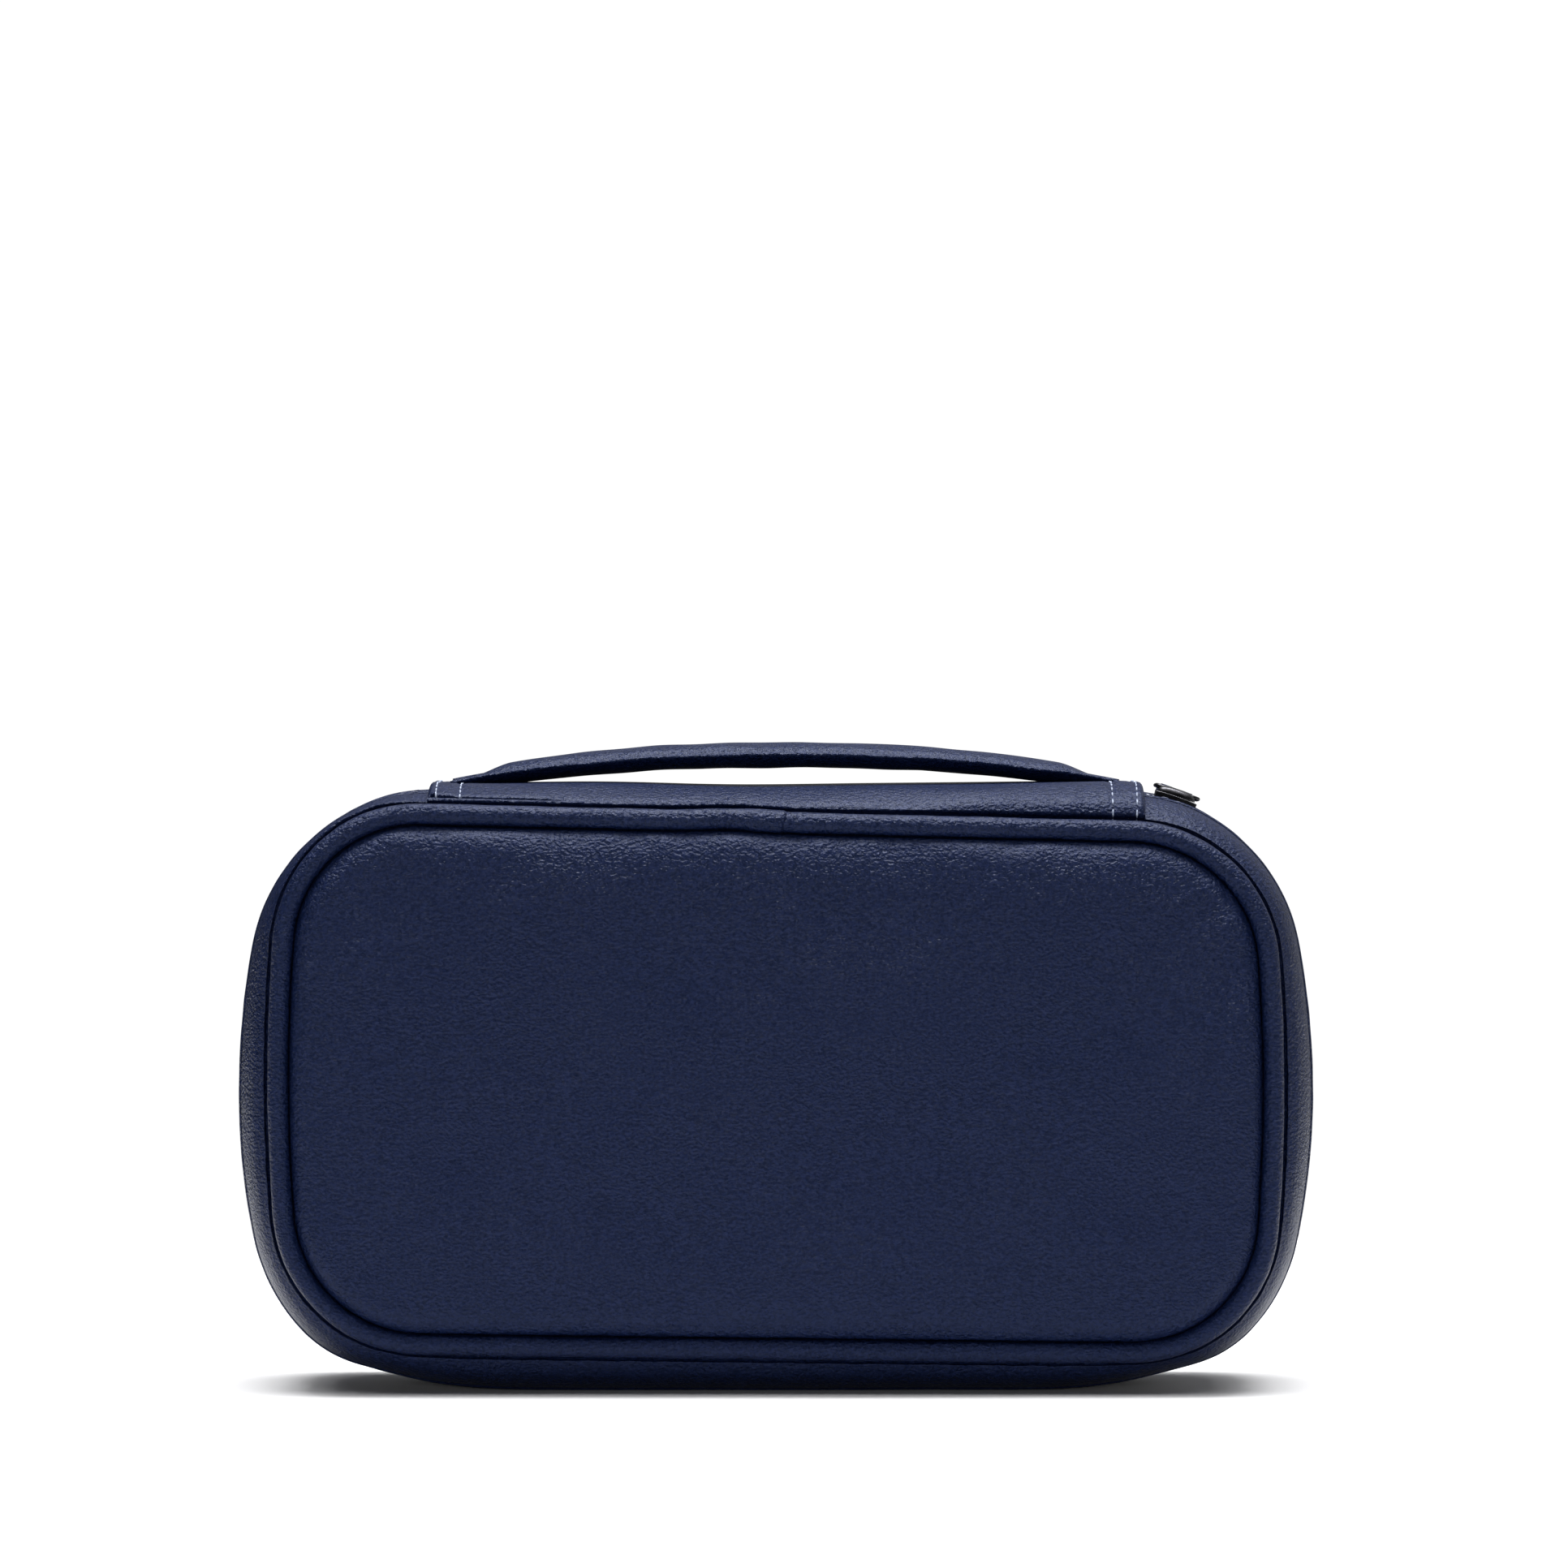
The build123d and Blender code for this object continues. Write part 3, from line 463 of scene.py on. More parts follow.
def woven(name, dark, light, across=(0, 1, 0), pitch=0.55):
    """Woven tape: ribs across one axis, broken up into yarns."""
    material, tree, shader = new_material(name)
    ribs = node(tree, "TexWave", {"Scale": 1.0, "Distortion": 0.6, "Detail": 1.0},
                wave_type="BANDS", bands_direction="DIAGONAL", wave_profile="SIN")
    vector = place(tree, tuple(320.0 / pitch if a else 110.0 / pitch for a in across))
    tree.links.new(vector, ribs.inputs["Vector"])
    yarn = noise(tree, place(tree, (1, 1, 1)), 2600.0, 2.0, 0.6)
    weave = maths(tree, "ADD", maths(tree, "MULTIPLY", ribs.outputs["Fac"], 0.7),
                  maths(tree, "MULTIPLY", yarn, 0.4))
    tree.links.new(ramp(tree, weave, [(0.25, dark), (0.85, light)]), shader.inputs["Base Color"])
    bump(tree, shader, [(weave, 0.5, 0.0001)])
    tree.links.new(ramp(tree, yarn, [(0.3, (0.7,)), (0.7, (0.9,))]), shader.inputs["Roughness"])
    return material


def metal(name, colour, worn, roughness=(0.22, 0.4)):
    """Plated metal with brushed streaks, smudges and edges rubbed bright."""
    material, tree, shader = new_material(name)
    even = place(tree)
    smudge = noise(tree, even, 260.0, 4.0, 0.65)
    brushed = noise(tree, place(tree, (1.0, 8.0, 1.0)), 900.0, 2.0, 0.6)
    shape = node(tree, "NewGeometry")
    rubbed = ramp(tree, shape.outputs["Pointiness"], [(0.5, (0.0,)), (0.6, (1.0,))])
    base = mix_colour(tree, maths(tree, "MULTIPLY", smudge, 0.5), colour, worn)
    tree.links.new(mix_colour(tree, maths(tree, "MULTIPLY", rubbed, 0.7), base, worn),
                   shader.inputs["Base Color"])
    shader.inputs["Metallic"].default_value = 0.95
    tree.links.new(ramp(tree, smudge, [(0.3, (roughness[0],)), (0.7, (roughness[1],))]),
                   shader.inputs["Roughness"])
    bump(tree, shader, [(brushed, 0.08, 0.00005), (smudge, 0.05, 0.0001)])
    return material


def fibrous(name, dark, light, stretch, grain, relief, roughness):
    """Plain fibrous stuff; grain is (scale, detail, roughness), relief (strength, distance)."""
    material, tree, shader = new_material(name)
    fibre = noise(tree, place(tree, (1.0, 1.0, stretch)), *grain)
    tree.links.new(ramp(tree, fibre, [(0.3, dark), (0.7, light)]), shader.inputs["Base Color"])
    bump(tree, shader, [(fibre, *relief)])
    shader.inputs["Roughness"].default_value = roughness
    return material


def board_material(name, dark, light):
    """Grey-brown bookbinding board with fibres."""
    return fibrous(name, dark, light, 3.0, (700.0, 5.0, 0.7), (0.3, 0.0002), 0.9)


def thread_material(name, dark, light):
    """Twisted thread."""
    return fibrous(name, dark, light, 1.0, (2400.0, 2.0, 0.5), (0.4, 0.0001), 0.55)


NAVY_DARK = (0.0010, 0.0034, 0.0150)
NAVY = (0.0016, 0.0046, 0.0200)
# Lighter navy painted on the leather grain's tops as a painted highlight.
NAVY_GRAIN_HIGHLIGHT = (0.0068, 0.0120, 0.0430)
LEATHER = leather("navy leather", NAVY_DARK, NAVY, NAVY_GRAIN_HIGHLIGHT)
PANEL_LEATHER = leather("navy panel leather", NAVY_DARK, NAVY, NAVY_GRAIN_HIGHLIGHT, wrinkles=True)
SUEDE = suede("taupe suede", (0.235, 0.185, 0.140), (0.44, 0.365, 0.29))
ROLL_SUEDE = suede("pale suede", (0.30, 0.245, 0.19), (0.52, 0.44, 0.355))
ELASTIC = woven("taupe elastic", (0.15, 0.12, 0.09), (0.33, 0.27, 0.21), (0, 0, 1), 1.4)
TAPE = woven("navy zip tape", (0.006, 0.008, 0.020), (0.022, 0.028, 0.058))
GUNMETAL = metal("gunmetal", (0.012, 0.012, 0.014), (0.10, 0.10, 0.11))
NICKEL = metal("dark nickel", (0.34, 0.33, 0.32), (0.62, 0.61, 0.60), (0.16, 0.3))
BOARD = board_material("board", (0.20, 0.16, 0.12), (0.42, 0.35, 0.27))
PALE_THREAD = thread_material("pale thread", (0.13, 0.155, 0.23), (0.31, 0.35, 0.45))
NAVY_THREAD = thread_material("navy thread", (0.010, 0.014, 0.040), (0.035, 0.045, 0.10))
TAUPE_THREAD = thread_material("taupe thread", (0.22, 0.17, 0.12), (0.48, 0.40, 0.31))


def dress(piece, material, body, slot_name, *nodes):
    """Give a piece its material and its body, and hide the CAD nodes that it stands for; the slot
    name is not used.
    """
    piece.data.materials.append(material)
    if body:
        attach(piece, body)
    if nodes:
        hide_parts(*nodes)
    return piece


# ---------------------------------------------------------------- rings round the case
def ring(depth, share, inset, facing, wave=None):
    """Loop of points at a depth from the mid-plane."""
    loop = loop_of(ring_shape(share, 0.0))
    x = loop[:, 0] - loop[:, 2] * inset
    z = loop[:, 1] - loop[:, 3] * inset
    if wave is not None:
        x = x + loop[:, 2] * wave
        z = z + loop[:, 3] * wave
    z = z + seam_drift(x, z, facing) * (1 - share)
    points = np.stack([x, np.full(LOOP, facing * depth), z], axis=1)
    return settle(points, 0.25 + 0.75 * share)


def shoulder(start, end, count):
    """Steps of (depth, share, inset) along the gusset's rounded shoulder."""
    return [(depth, float(share_at(depth)), 0.0) for depth in np.linspace(start, end, count)]


# Next to the piping the leather turns in, which leaves a narrow dark groove
GROOVE_START = 22.3
GROOVE = [(22.95, 0.52, -0.14), (23.45, 0.40, -0.62), (23.85, 0.28, -1.25), (24.12, 0.17, -1.9),
          (24.22, 0.09, -2.45), (24.18, 0.03, -2.95), (23.95, 0.0, -3.22), (23.6, 0.0, -3.2),
          (23.25, 0.0, -2.9), (23.05, 0.0, -2.2), (23.05, 0.0, 0.5)]


def window_roll(edge):
    """Folded leather edge at the zip window."""
    return [(edge + 3.0, 1, 1.4), (edge + 0.6, 1, 1.4), (edge + 0.15, 1, 1.2), (edge, 1, 0.8),
            (edge + 0.1, 1, 0.35), (edge + 0.5, 1, 0.06), (edge + 1.1, 1, -0.04),
            (edge + 1.7, 1, 0.02), (edge + 2.0, 1, 0.2), (edge + 2.3, 1, 0.3),
            (edge + 2.6, 1, 0.2), (edge + 2.95, 1, 0.04)]


def make_gusset(facing, edge, name, body):
    """Leather gusset of one half, with its folded edge and its groove."""
    profile = (window_roll(edge) + shoulder(edge + 4.0, 13.9, 5)
               + shoulder(14.5, GROOVE_START, 22) + GROOVE)
    profile = [step for index, step in enumerate(profile)
               if index < 12 or step[0] > edge + 3.5]
    rows = []
    slack = closed_wave(LOOP, [3, 5, 8, 13], 11 + facing) * 0.16
    pucker = closed_wave(LOOP, [61, 74, 83, 97, 109], 31 + facing) * 0.05
    for depth, share, inset in profile:
        bulge = slack * float(smooth_step(edge, edge + 4, depth)) * share
        near_seam = float(smooth_step(20, 23.5, depth)) * pucker
        near_edge = float(smooth_step(edge + 5, edge + 1, depth)) * np.roll(pucker, 40) * 0.6
        rows.append(ring(depth, share, inset, facing, bulge + near_seam + near_edge))
    points = np.array(rows)
    # The wall dips a little where the spine band's ends grip it
    for end in (SPINE_LEFT, SPINE_RIGHT):
        away = np.abs(points[:, :, 0] - end)
        dip = np.exp(-(away / 7.0) ** 2) * (points[:, :, 2] > CASE_MIDDLE)
        points[:, :, 2] -= 0.55 * dip
    faces = grid_faces(len(profile), LOOP, close_columns=True, flip=facing == FRONT)
    piece = add_mesh(f"{name}_gusset_skin", points, faces)
    dress(piece, LEATHER, body, "navy_leather", f"{name}_gusset_leather")
    return piece


def window_stitches(facing, edge, name, body):
    """Row of stitches along the folded edge, clear of the spine band."""
    loop = loop_of(ring_shape(1, 0.0))
    step = np.linalg.norm(np.diff(loop[:, :2], axis=0, append=loop[:1, :2]), axis=1)
    along = np.concatenate([[0], np.cumsum(step)])[:-1]
    total = along[-1] + step[-1]
    pitch = 3.1
    places = []
    for index in range(int(total / pitch)):
        at = index * total / int(total / pitch)
        here = int(np.argmin(np.abs(along - at)))
        x, z, nx, nz = loop[here]
        if z > CASE_MIDDLE and SPINE_LEFT - 2 < x < SPINE_RIGHT + 2:
            continue
        places.append(((x - 0.28 * nx, facing * (edge + 2.3), z - 0.28 * nz), (nz, 0, -nx),
                       (nx, 0, nz)))
    points, faces = stitch_mesh(places, 2.3, 0.19, 0.02)
    points = settle(points)
    piece = add_mesh(f"{name}_window_stitches", points, faces)
    dress(piece, NAVY_THREAD, body, "navy_leather")


def make_piping(facing, name, body):
    """Piping round a seam, with the overlap where its ends meet at the top."""
    seam = ring(SEAM_DEPTH, 0, 0.0, facing)
    width = PIPING_RADIUS + closed_wave(LOOP, [7, 19, 33, 52], 5 + facing) * 0.035
    width += closed_wave(LOOP, [88, 101, 127], 15 + facing) * 0.018
    parts = [tube_along(seam, width, 22, closed=True)]
    join, reach = 1.6, 13.6
    xs = np.linspace(join - reach, join, 40)
    top = np.argsort(np.abs(seam[:, 0]) + 1000 * (seam[:, 2] < CASE_MIDDLE))[:60]
    line = seam[top][np.argsort(seam[top][:, 0])]
    path = np.stack([xs, np.full(40, facing * SEAM_DEPTH),
                     np.interp(xs, line[:, 0], line[:, 2])], axis=1)
    rise = 0.42 * smooth_step(join - reach, join - reach + 9, xs)
    sleeve = PIPING_RADIUS + rise - 0.12
    sleeve[-1] = PIPING_RADIUS + 0.02
    sleeve[-2] = PIPING_RADIUS + 0.26
    path[-1, 0] = join + 0.16
    path[-2, 0] = join + 0.12
    parts.append(tube_along(path, sleeve, 22))
    points, faces = merge(parts)
    piece = add_mesh(f"{name}_piping_skin", points, faces)
    dress(piece, LEATHER, body, "navy_leather", f"{name}_piping", f"{name}_piping_cord")


def drop_doubles(piece):
    """Merge points that fall on each other."""
    edit = bmesh.new()
    edit.from_mesh(piece.data)
    bmesh.ops.remove_doubles(edit, verts=edit.verts, dist=0.02 * MM)
    edit.to_mesh(piece.data)
    edit.free()


def filled_rings(profile, facing, stride, spacing):
    """Grid of rings that closes over a panel; profile is (depth, inset) from its edge inwards."""
    rows = [ring(depth, 0, inset, facing)[::stride] for depth, inset in profile]
    depth, inset = profile[-1]
    while inset + spacing < 27:
        inset += spacing
        rows.append(ring(depth, 0, inset, facing)[::stride])
    last = rows[-1]
    target = np.stack([np.clip(last[:, 0], -50, 50), last[:, 1],
                       np.full(len(last), SEAM_MIDDLE)], axis=1)
    steps = max(3, int(31 / spacing))
    for step in range(1, steps + 1):
        rows.append(last + (target - last) * step / steps)
    return np.array(rows)


def panel_drape(x, z, facing):
    """Slow swells of a padded panel, outwards in millimetres."""
    return 0.34 * soft_noise(x, z, 70, 3 + facing) + 0.12 * soft_noise(x, z, 24, 9 + facing)


CLOTH_FRAMES = 20
CLOTH_MASS = 0.15
CLOTH_STIFFNESS = 18.0


def simulate(piece, pins, pressure, cap):
    """Cloth simulation with held points; movement is capped in millimetres."""
    start = np.array([v.co for v in piece.data.vertices])
    group = piece.vertex_groups.new(name="held")
    for index, weight in enumerate(pins):
        if weight > 0:
            group.add([index], float(weight), "REPLACE")
    cloth = piece.modifiers.new("cloth", "CLOTH")
    settings = cloth.settings
    settings.vertex_group_mass = "held"
    settings.quality = 6
    settings.mass = CLOTH_MASS
    settings.tension_stiffness = CLOTH_STIFFNESS
    settings.compression_stiffness = CLOTH_STIFFNESS
    settings.shear_stiffness = CLOTH_STIFFNESS * 0.5
    settings.bending_stiffness = 0.6
    settings.use_pressure = True
    settings.uniform_pressure_force = pressure
    settings.effector_weights.gravity = 0
    cloth.collision_settings.use_collision = False
    cloth.point_cache.frame_start = 1
    cloth.point_cache.frame_end = CLOTH_FRAMES
    scene = bpy.context.scene
    for frame_number in range(1, CLOTH_FRAMES + 1):
        scene.frame_set(frame_number)
    graph = bpy.context.evaluated_depsgraph_get()
    shaped = piece.evaluated_get(graph).to_mesh()
    moved = np.array([v.co for v in shaped.vertices])
    piece.evaluated_get(graph).to_mesh_clear()
    piece.modifiers.remove(cloth)
    piece.vertex_groups.remove(group)
    shift = moved - start
    size = np.linalg.norm(shift, axis=1, keepdims=True)
    limit = cap * MM * np.tanh(size / (cap * MM))
    shift *= np.where(size > 1e-9, limit / np.maximum(size, 1e-9), 0)
    piece.data.vertices.foreach_set("co", (start + shift).ravel())
    piece.data.update()
    scene.frame_set(1)


def apply_modifiers(piece):
    """Replace a piece's mesh with its modified one."""
    graph = bpy.context.evaluated_depsgraph_get()
    made = bpy.data.meshes.new_from_object(piece.evaluated_get(graph))
    piece.modifiers.clear()
    old = piece.data
    piece.data = made
    bpy.data.meshes.remove(old)
    made.polygons.foreach_set("use_smooth", [True] * len(made.polygons))


def coordinates(piece):
    """Points of a mesh in millimetres."""
    flat = np.empty(len(piece.data.vertices) * 3)
    piece.data.vertices.foreach_get("co", flat)
    return flat.reshape(-1, 3) / MM


def set_coordinates(piece, points):
    """Write points in millimetres back to a mesh."""
    piece.data.vertices.foreach_set("co", (points * MM).ravel())
    piece.data.update()


PANEL_EDGE = PANEL_GAP + 0.05
PANEL_ROLL = 5.9
PANEL_RISE = 4.6


def make_panel(facing, name, body):
    """Padded leather panel: a rolled edge out of the groove, then a slack cushion."""
    profile = [(24.6, 1.6), (25.6, 2.2)]
    for t in np.linspace(0, 1, 15):
        turn = t * math.pi / 2
        profile.append((26.6 + PANEL_RISE * math.sin(turn) ** 0.9,
                        PANEL_EDGE + PANEL_ROLL * (1 - math.cos(turn)) ** 0.95))
    profile.append((26.6 + PANEL_RISE + 0.12, PANEL_EDGE + PANEL_ROLL + 2.4))
    grid = filled_rings(profile, facing, 2, 2.4)
    rows, columns, _ = grid.shape
    faces = grid_faces(rows, columns, close_columns=True, flip=facing == FRONT)
    piece = add_mesh(f"{name}_panel_skin", grid, faces)
    drop_doubles(piece)
    points = coordinates(piece)
    edge_points = np.abs(points[:, 1]) < 28.2
    simulate(piece, edge_points.astype(float), 0.55, cap=1.3)
    piece.modifiers.new("subdivision", "SUBSURF").levels = 1
    apply_modifiers(piece)
    points = coordinates(piece)
    free = smooth_step(27.4, 31.4, np.abs(points[:, 1]))
    points[:, 1] += facing * free * panel_drape(points[:, 0], points[:, 2], facing)
    # Puckers where the seam gathers the leather, strongest along the top
    angle = np.arctan2((points[:, 2] - SEAM_MIDDLE) * 1.9, points[:, 0])
    band = np.exp(-((np.abs(points[:, 1]) - 29.6) / 1.6) ** 2)
    pucker = sum(np.sin(wave * angle + phase) for wave, phase in
                 ((41, 0.3), (57, 2.1), (73, 4.0), (29, 1.2))) / 2
    upper = 0.45 + 0.55 * smooth_step(70, 118, points[:, 2])
    points[:, 1] -= facing * 0.17 * band * pucker * upper
    set_coordinates(piece, points)
    dress(piece, PANEL_LEATHER, body, "navy_leather", f"{name}_panel_leather",
          f"{name}_panel_foam")


# ---------------------------------------------------------------- spine band
def top_height(x, share, facing_drift):
    """Height of the outline of this share over x, on the upper side."""
    shape = ring_shape(share)
    cx, cz, _ = corner_of(shape)
    over = np.clip(np.abs(x) - cx, 0, None)
    z = shape["middle"] + cz + np.sqrt(np.clip(shape["corner"] ** 2 - over ** 2, 0, None))
    return z + facing_drift * (1 - share)


def spine_profile():
    """Half of the band's cross-section from the zip's middle outwards: (depth, share, inset)."""
    return shoulder(0.0, 13.9, 9) + shoulder(14.5, GROOVE_START, 24) + GROOVE


def spine_surface(xs, depth, share, inset, facing):
    """Line of points along the band at one step of its profile."""
    drift = seam_drift(xs, np.full(len(xs), 2 * CASE_MIDDLE), facing)
    z = top_height(xs, share, drift) - inset
    return np.stack([xs, np.full(len(xs), facing * depth), z], axis=1)


SEWN_ROWS = (SPINE_LEFT + 2.0, SPINE_LEFT + 6.9, SPINE_RIGHT - 7.3, SPINE_RIGHT - 2.0)


def spine_lift(xs, ys):
    """Height of the band's outer face above the gusset."""
    u = (xs - 2) / 75
    lift = 0.75 + 0.95 * u ** 2 + 0.25 * soft_noise(xs, ys, 60, 21)
    for row in SEWN_ROWS:
        lift = lift - 0.30 * np.exp(-((xs - row) / 0.7) ** 2)
    # Band ends are turned under, so they are a little thicker
    lift = lift + 0.35 * (np.exp(-((xs - SPINE_LEFT - 1.0) / 1.4) ** 2)
                          + np.exp(-((xs - SPINE_RIGHT + 1.0) / 1.4) ** 2))
    # Fold line of the lid, and a soft pinch above the piping's overlap
    lift = lift - 0.35 * np.exp(-((ys - ZIP_Y) / 1.6) ** 2)
    pinch = np.exp(-((xs + 10) / 8) ** 2) * smooth_step(-12, -23, ys)
    lift = lift + 0.5 * pinch * np.sin((xs + 10) / 2.6) * np.exp(-((xs + 10) / 6) ** 2)
    sway = smooth_step(-13, -20, ys) + smooth_step(13, 20, ys)
    lift = lift + 0.28 * sway * soft_noise(xs * 0.7, ys, 26, 8)
    return lift


END_RADIUS = 1.7


def rounded_end(xs):
    """1 along the band, falling to 0 round its two ends."""
    near = np.minimum(xs - SPINE_LEFT, SPINE_RIGHT - xs)
    t = np.clip(1 - near / END_RADIUS, 0, 1)
    return np.sqrt(np.clip(1 - t ** 2, 0, 1))


def make_spine():
    """One leather band over the top, across the lid's fold at the zip's line."""
    ends = np.array([0, 0.06, 0.25, 0.55, 0.95, 1.4, 1.9, 2.5])
    inner = np.linspace(SPINE_LEFT + 3.2, SPINE_RIGHT - 3.2, 230)
    xs = np.concatenate([SPINE_LEFT + ends, inner, (SPINE_RIGHT - ends)[::-1]])
    steps = ([(FRONT, *step) for step in spine_profile()[::-1][:-1]]
             + [(BACK, *step) for step in spine_profile()])
    # More lines round the lid's fold line
    fine = [(FRONT if y < 0 else BACK, abs(y), 1.0, 0.0) for y in np.arange(-11.5, -0.6, 0.55)]
    steps = [s for s in steps if not (-12 < s[0] * s[1] < -0.3)] + fine
    first = [s for s in steps if s[0] == FRONT and s[1] > 12]
    middle = sorted((s for s in steps if not (s[0] == FRONT and s[1] > 12) and s[0] * s[1] < 14.2),
                    key=lambda s: s[0] * s[1])
    last = [s for s in steps if s[0] == BACK and s[1] >= 14.2]
    grid = np.array([spine_surface(xs, depth, share, inset, facing)
                     for facing, depth, share, inset in first + middle + last])
    normal = normals_of(grid)
    normal *= np.where((normal[:, :, 2].mean() < 0), -1, 1)
    ys = grid[:, :, 1]
    lift = spine_lift(grid[:, :, 0], ys) * rounded_end(grid[:, :, 0]) - 0.05
    tuck = np.ones(len(grid))
    tuck[:10] = [0.3, 0.3, 0.35, 0.4, 0.4, 0.45, 0.5, 0.6, 0.75, 0.9]
    tuck[-10:] = tuck[:10][::-1]
    outer = grid + normal * (lift * tuck[:, None])[:, :, None]
    under = grid + normal * -0.35
    rows, columns, _ = grid.shape
    parts = [(outer, grid_faces(rows, columns)),
             (under, grid_faces(rows, columns, flip=True))]
    points, faces = merge(parts)
    offset = rows * columns
    for row in range(rows - 1):
        for column, turned in ((0, False), (columns - 1, True)):
            a = row * columns + column
            b = (row + 1) * columns + column
            side = (a, b, b + offset, a + offset)
            faces.append(side[::-1] if turned else side)
    piece = add_mesh("spine_skin", points, faces)
    check = piece.data.polygons[columns * (rows // 2) + columns // 2].normal
    if check.z < 0:
        piece.data.flip_normals()
    piece.data.materials.append(LEATHER)
    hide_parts("front_spine_leather", "back_spine_leather")
    bend(piece)
    # Sewn rows across the band's ends
    places = []
    for row in SEWN_ROWS:
        column = int(np.argmin(np.abs(xs - row)))
        line = outer[:, column]
        length = np.concatenate([[0], np.cumsum(np.linalg.norm(np.diff(line, axis=0), axis=1))])
        for at in np.arange(2.2, length[-1] - 2.0, 3.0):
            point = np.array([np.interp(at, length, line[:, k]) for k in range(3)])
            ahead = np.array([np.interp(at + 0.3, length, line[:, k]) for k in range(3)])
            direction = (ahead - point) / np.linalg.norm(ahead - point)
            out = np.cross([1, 0, 0], direction)
            out = out if out[2] > 0 or abs(point[1]) > 24 else -out
            places.append((point, direction, out))
    points, faces = stitch_mesh(places, 1.95, 0.2, 0.16)
    rows_piece = add_mesh("spine_stitches", points, faces)
    rows_piece.data.materials.append(PALE_THREAD)
    bend(rows_piece)


def bend(piece):
    """Bake the piece's placement into its points; the piece crosses the lid's fold."""
    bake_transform(piece)


def make_fold_lining():
    """Suede strip inside the fold, behind the spine band."""
    xs = np.linspace(SPINE_LEFT + 0.5, SPINE_RIGHT - 0.5, 110)
    ys = np.linspace(-13.5, 1.5, 30)
    rows = []
    for y in ys:
        across = np.full(len(xs), y)
        z = top_height(xs, 1.0, 0) - 2.9 + 0.15 * math.sin((y - ZIP_Y) / 1.1)
        rows.append(np.stack([xs, across, z + 0.1 * soft_noise(xs, across, 9, 4)], axis=1))
    piece = add_mesh("fold_lining", np.array(rows), grid_faces(len(ys), len(xs)))
    piece.modifiers.new("thickness", "SOLIDIFY").thickness = 0.5 * MM
    apply_modifiers(piece)
    piece.data.materials.append(SUEDE)
    bend(piece)


# ---------------------------------------------------------------- handle
HANDLE_MIDDLE = (handle_low[0] + handle_high[0]) / 2
HANDLE_Y = (handle_low[1] + handle_high[1]) / 2
HANDLE_HALF_WIDTH = (handle_high[1] - handle_low[1]) / 2
HANDLE_CROWN = handle_high[2]
HANDLE_REACH = 72.0


def handle_half(x):
    """Half of the handle's width; it narrows towards its ends."""
    return HANDLE_HALF_WIDTH - 1.3 * smooth_step(66, 76, np.abs(x - HANDLE_MIDDLE))


def handle_top(x):
    """Height of the handle's rim, where its upper and lower skins meet."""
    u = np.abs(x - HANDLE_MIDDLE) / HANDLE_REACH
    return HANDLE_CROWN - 2.75 - 5.6 * u ** 2.3


def handle_thickness(x):
    """Bulge above the rim and below it; the padding ends a little short of the band."""
    u = np.abs(x - HANDLE_MIDDLE) / HANDLE_REACH
    padded_part = float(smooth_step(0.99, 0.85, u))
    above = 0.35 + (2.4 - 0.7 * min(u, 1) ** 2) * padded_part
    below = 2.9 - 0.3 * min(u, 1) ** 2
    return above, below


def make_handle():
    """Padded strap handle: grained top, sewn rim and a lining below, all in the same grained
    leather.
    """
    xs = np.linspace(HANDLE_MIDDLE - 75, HANDLE_MIDDLE + 75.5, 190)
    sides = 26
    top_rows = []
    under_rows = []
    for x in xs:
        above, below = handle_thickness(x)
        rim = float(handle_top(x))
        half = float(handle_half(x))
        across = np.linspace(-1, 1, sides)
        flange = 1.5 / half
        inner = np.clip(np.abs(across) / (1 - flange), 0, 1)
        dome = np.sqrt(np.clip(1 - inner ** 2.2, 0, 1))
        top_rows.append(np.stack([np.full(sides, x), HANDLE_Y + half * across,
                                  rim + 0.30 + (above - 0.30) * dome], axis=1))
        belly = np.clip(1 - np.abs(across) ** 2.4, 0, 1) ** 0.8
        under_rows.append(np.stack([np.full(sides, x), HANDLE_Y + half * across,
                                    rim - 0.55 - (below - 0.55) * belly], axis=1))
    top = np.array(top_rows)
    under = np.array(under_rows)
    loops = []
    for index in range(len(xs)):
        edges = []
        for upper, lower, way in ((top[index, -1], under[index, -1], 1),
                                  (under[index, 0], top[index, 0], -1)):
            for share in (0.15, 0.5, 0.85):
                bow = 0.42 * math.sin(math.pi * share)
                edges.append(upper + (lower - upper) * share + [0, way * bow, 0])
        loops.append(np.concatenate([top[index], edges[:3], under[index][::-1], edges[3:]]))
    loops = np.array(loops)
    count = loops.shape[1]
    faces = grid_faces(len(xs), count, close_columns=True, flip=True)
    faces += end_caps(len(xs), count, flip=True)
    parts = [(loops, faces)]
    # The skins are turned and sewn together in a thin bead along each edge
    for side in (-1, 1):
        path = np.stack([xs, HANDLE_Y + side * (handle_half(xs) + 0.12),
                         handle_top(xs) + 0.12], axis=1)
        parts.append(tube_along(path, 0.46, 12))
    points, faces = merge(parts)
    piece = add_mesh("handle_skin", points, faces)
    points = coordinates(piece)
    points[:, 2] += 0.10 * soft_noise(points[:, 0], points[:, 1] * 2, 22, 17)
    set_coordinates(piece, points)
    dress(piece, LEATHER, BACK_HALF, "navy_leather", "handle_top_leather", "handle_filler",
          "handle_lining")
    places = []
    for side in (-1, 1):
        for x in np.arange(HANDLE_MIDDLE - 66, HANDLE_MIDDLE + 66.5, 2.9):
            z = float(handle_top(x)) + 0.2
            slope = float(handle_top(x + 0.5) - handle_top(x - 0.5))
            direction = np.array([1, 0, slope]) / math.hypot(1, slope)
            places.append(((x, HANDLE_Y + side * (HANDLE_HALF_WIDTH - 0.95), z), direction,
                           (-direction[2], 0, direction[0])))
    stitched, stitch_faces = stitch_mesh(places, 2.0, 0.17, 0.18)
    dress(add_mesh("handle_stitches", stitched, stitch_faces), NAVY_THREAD, BACK_HALF,
          "navy_leather")


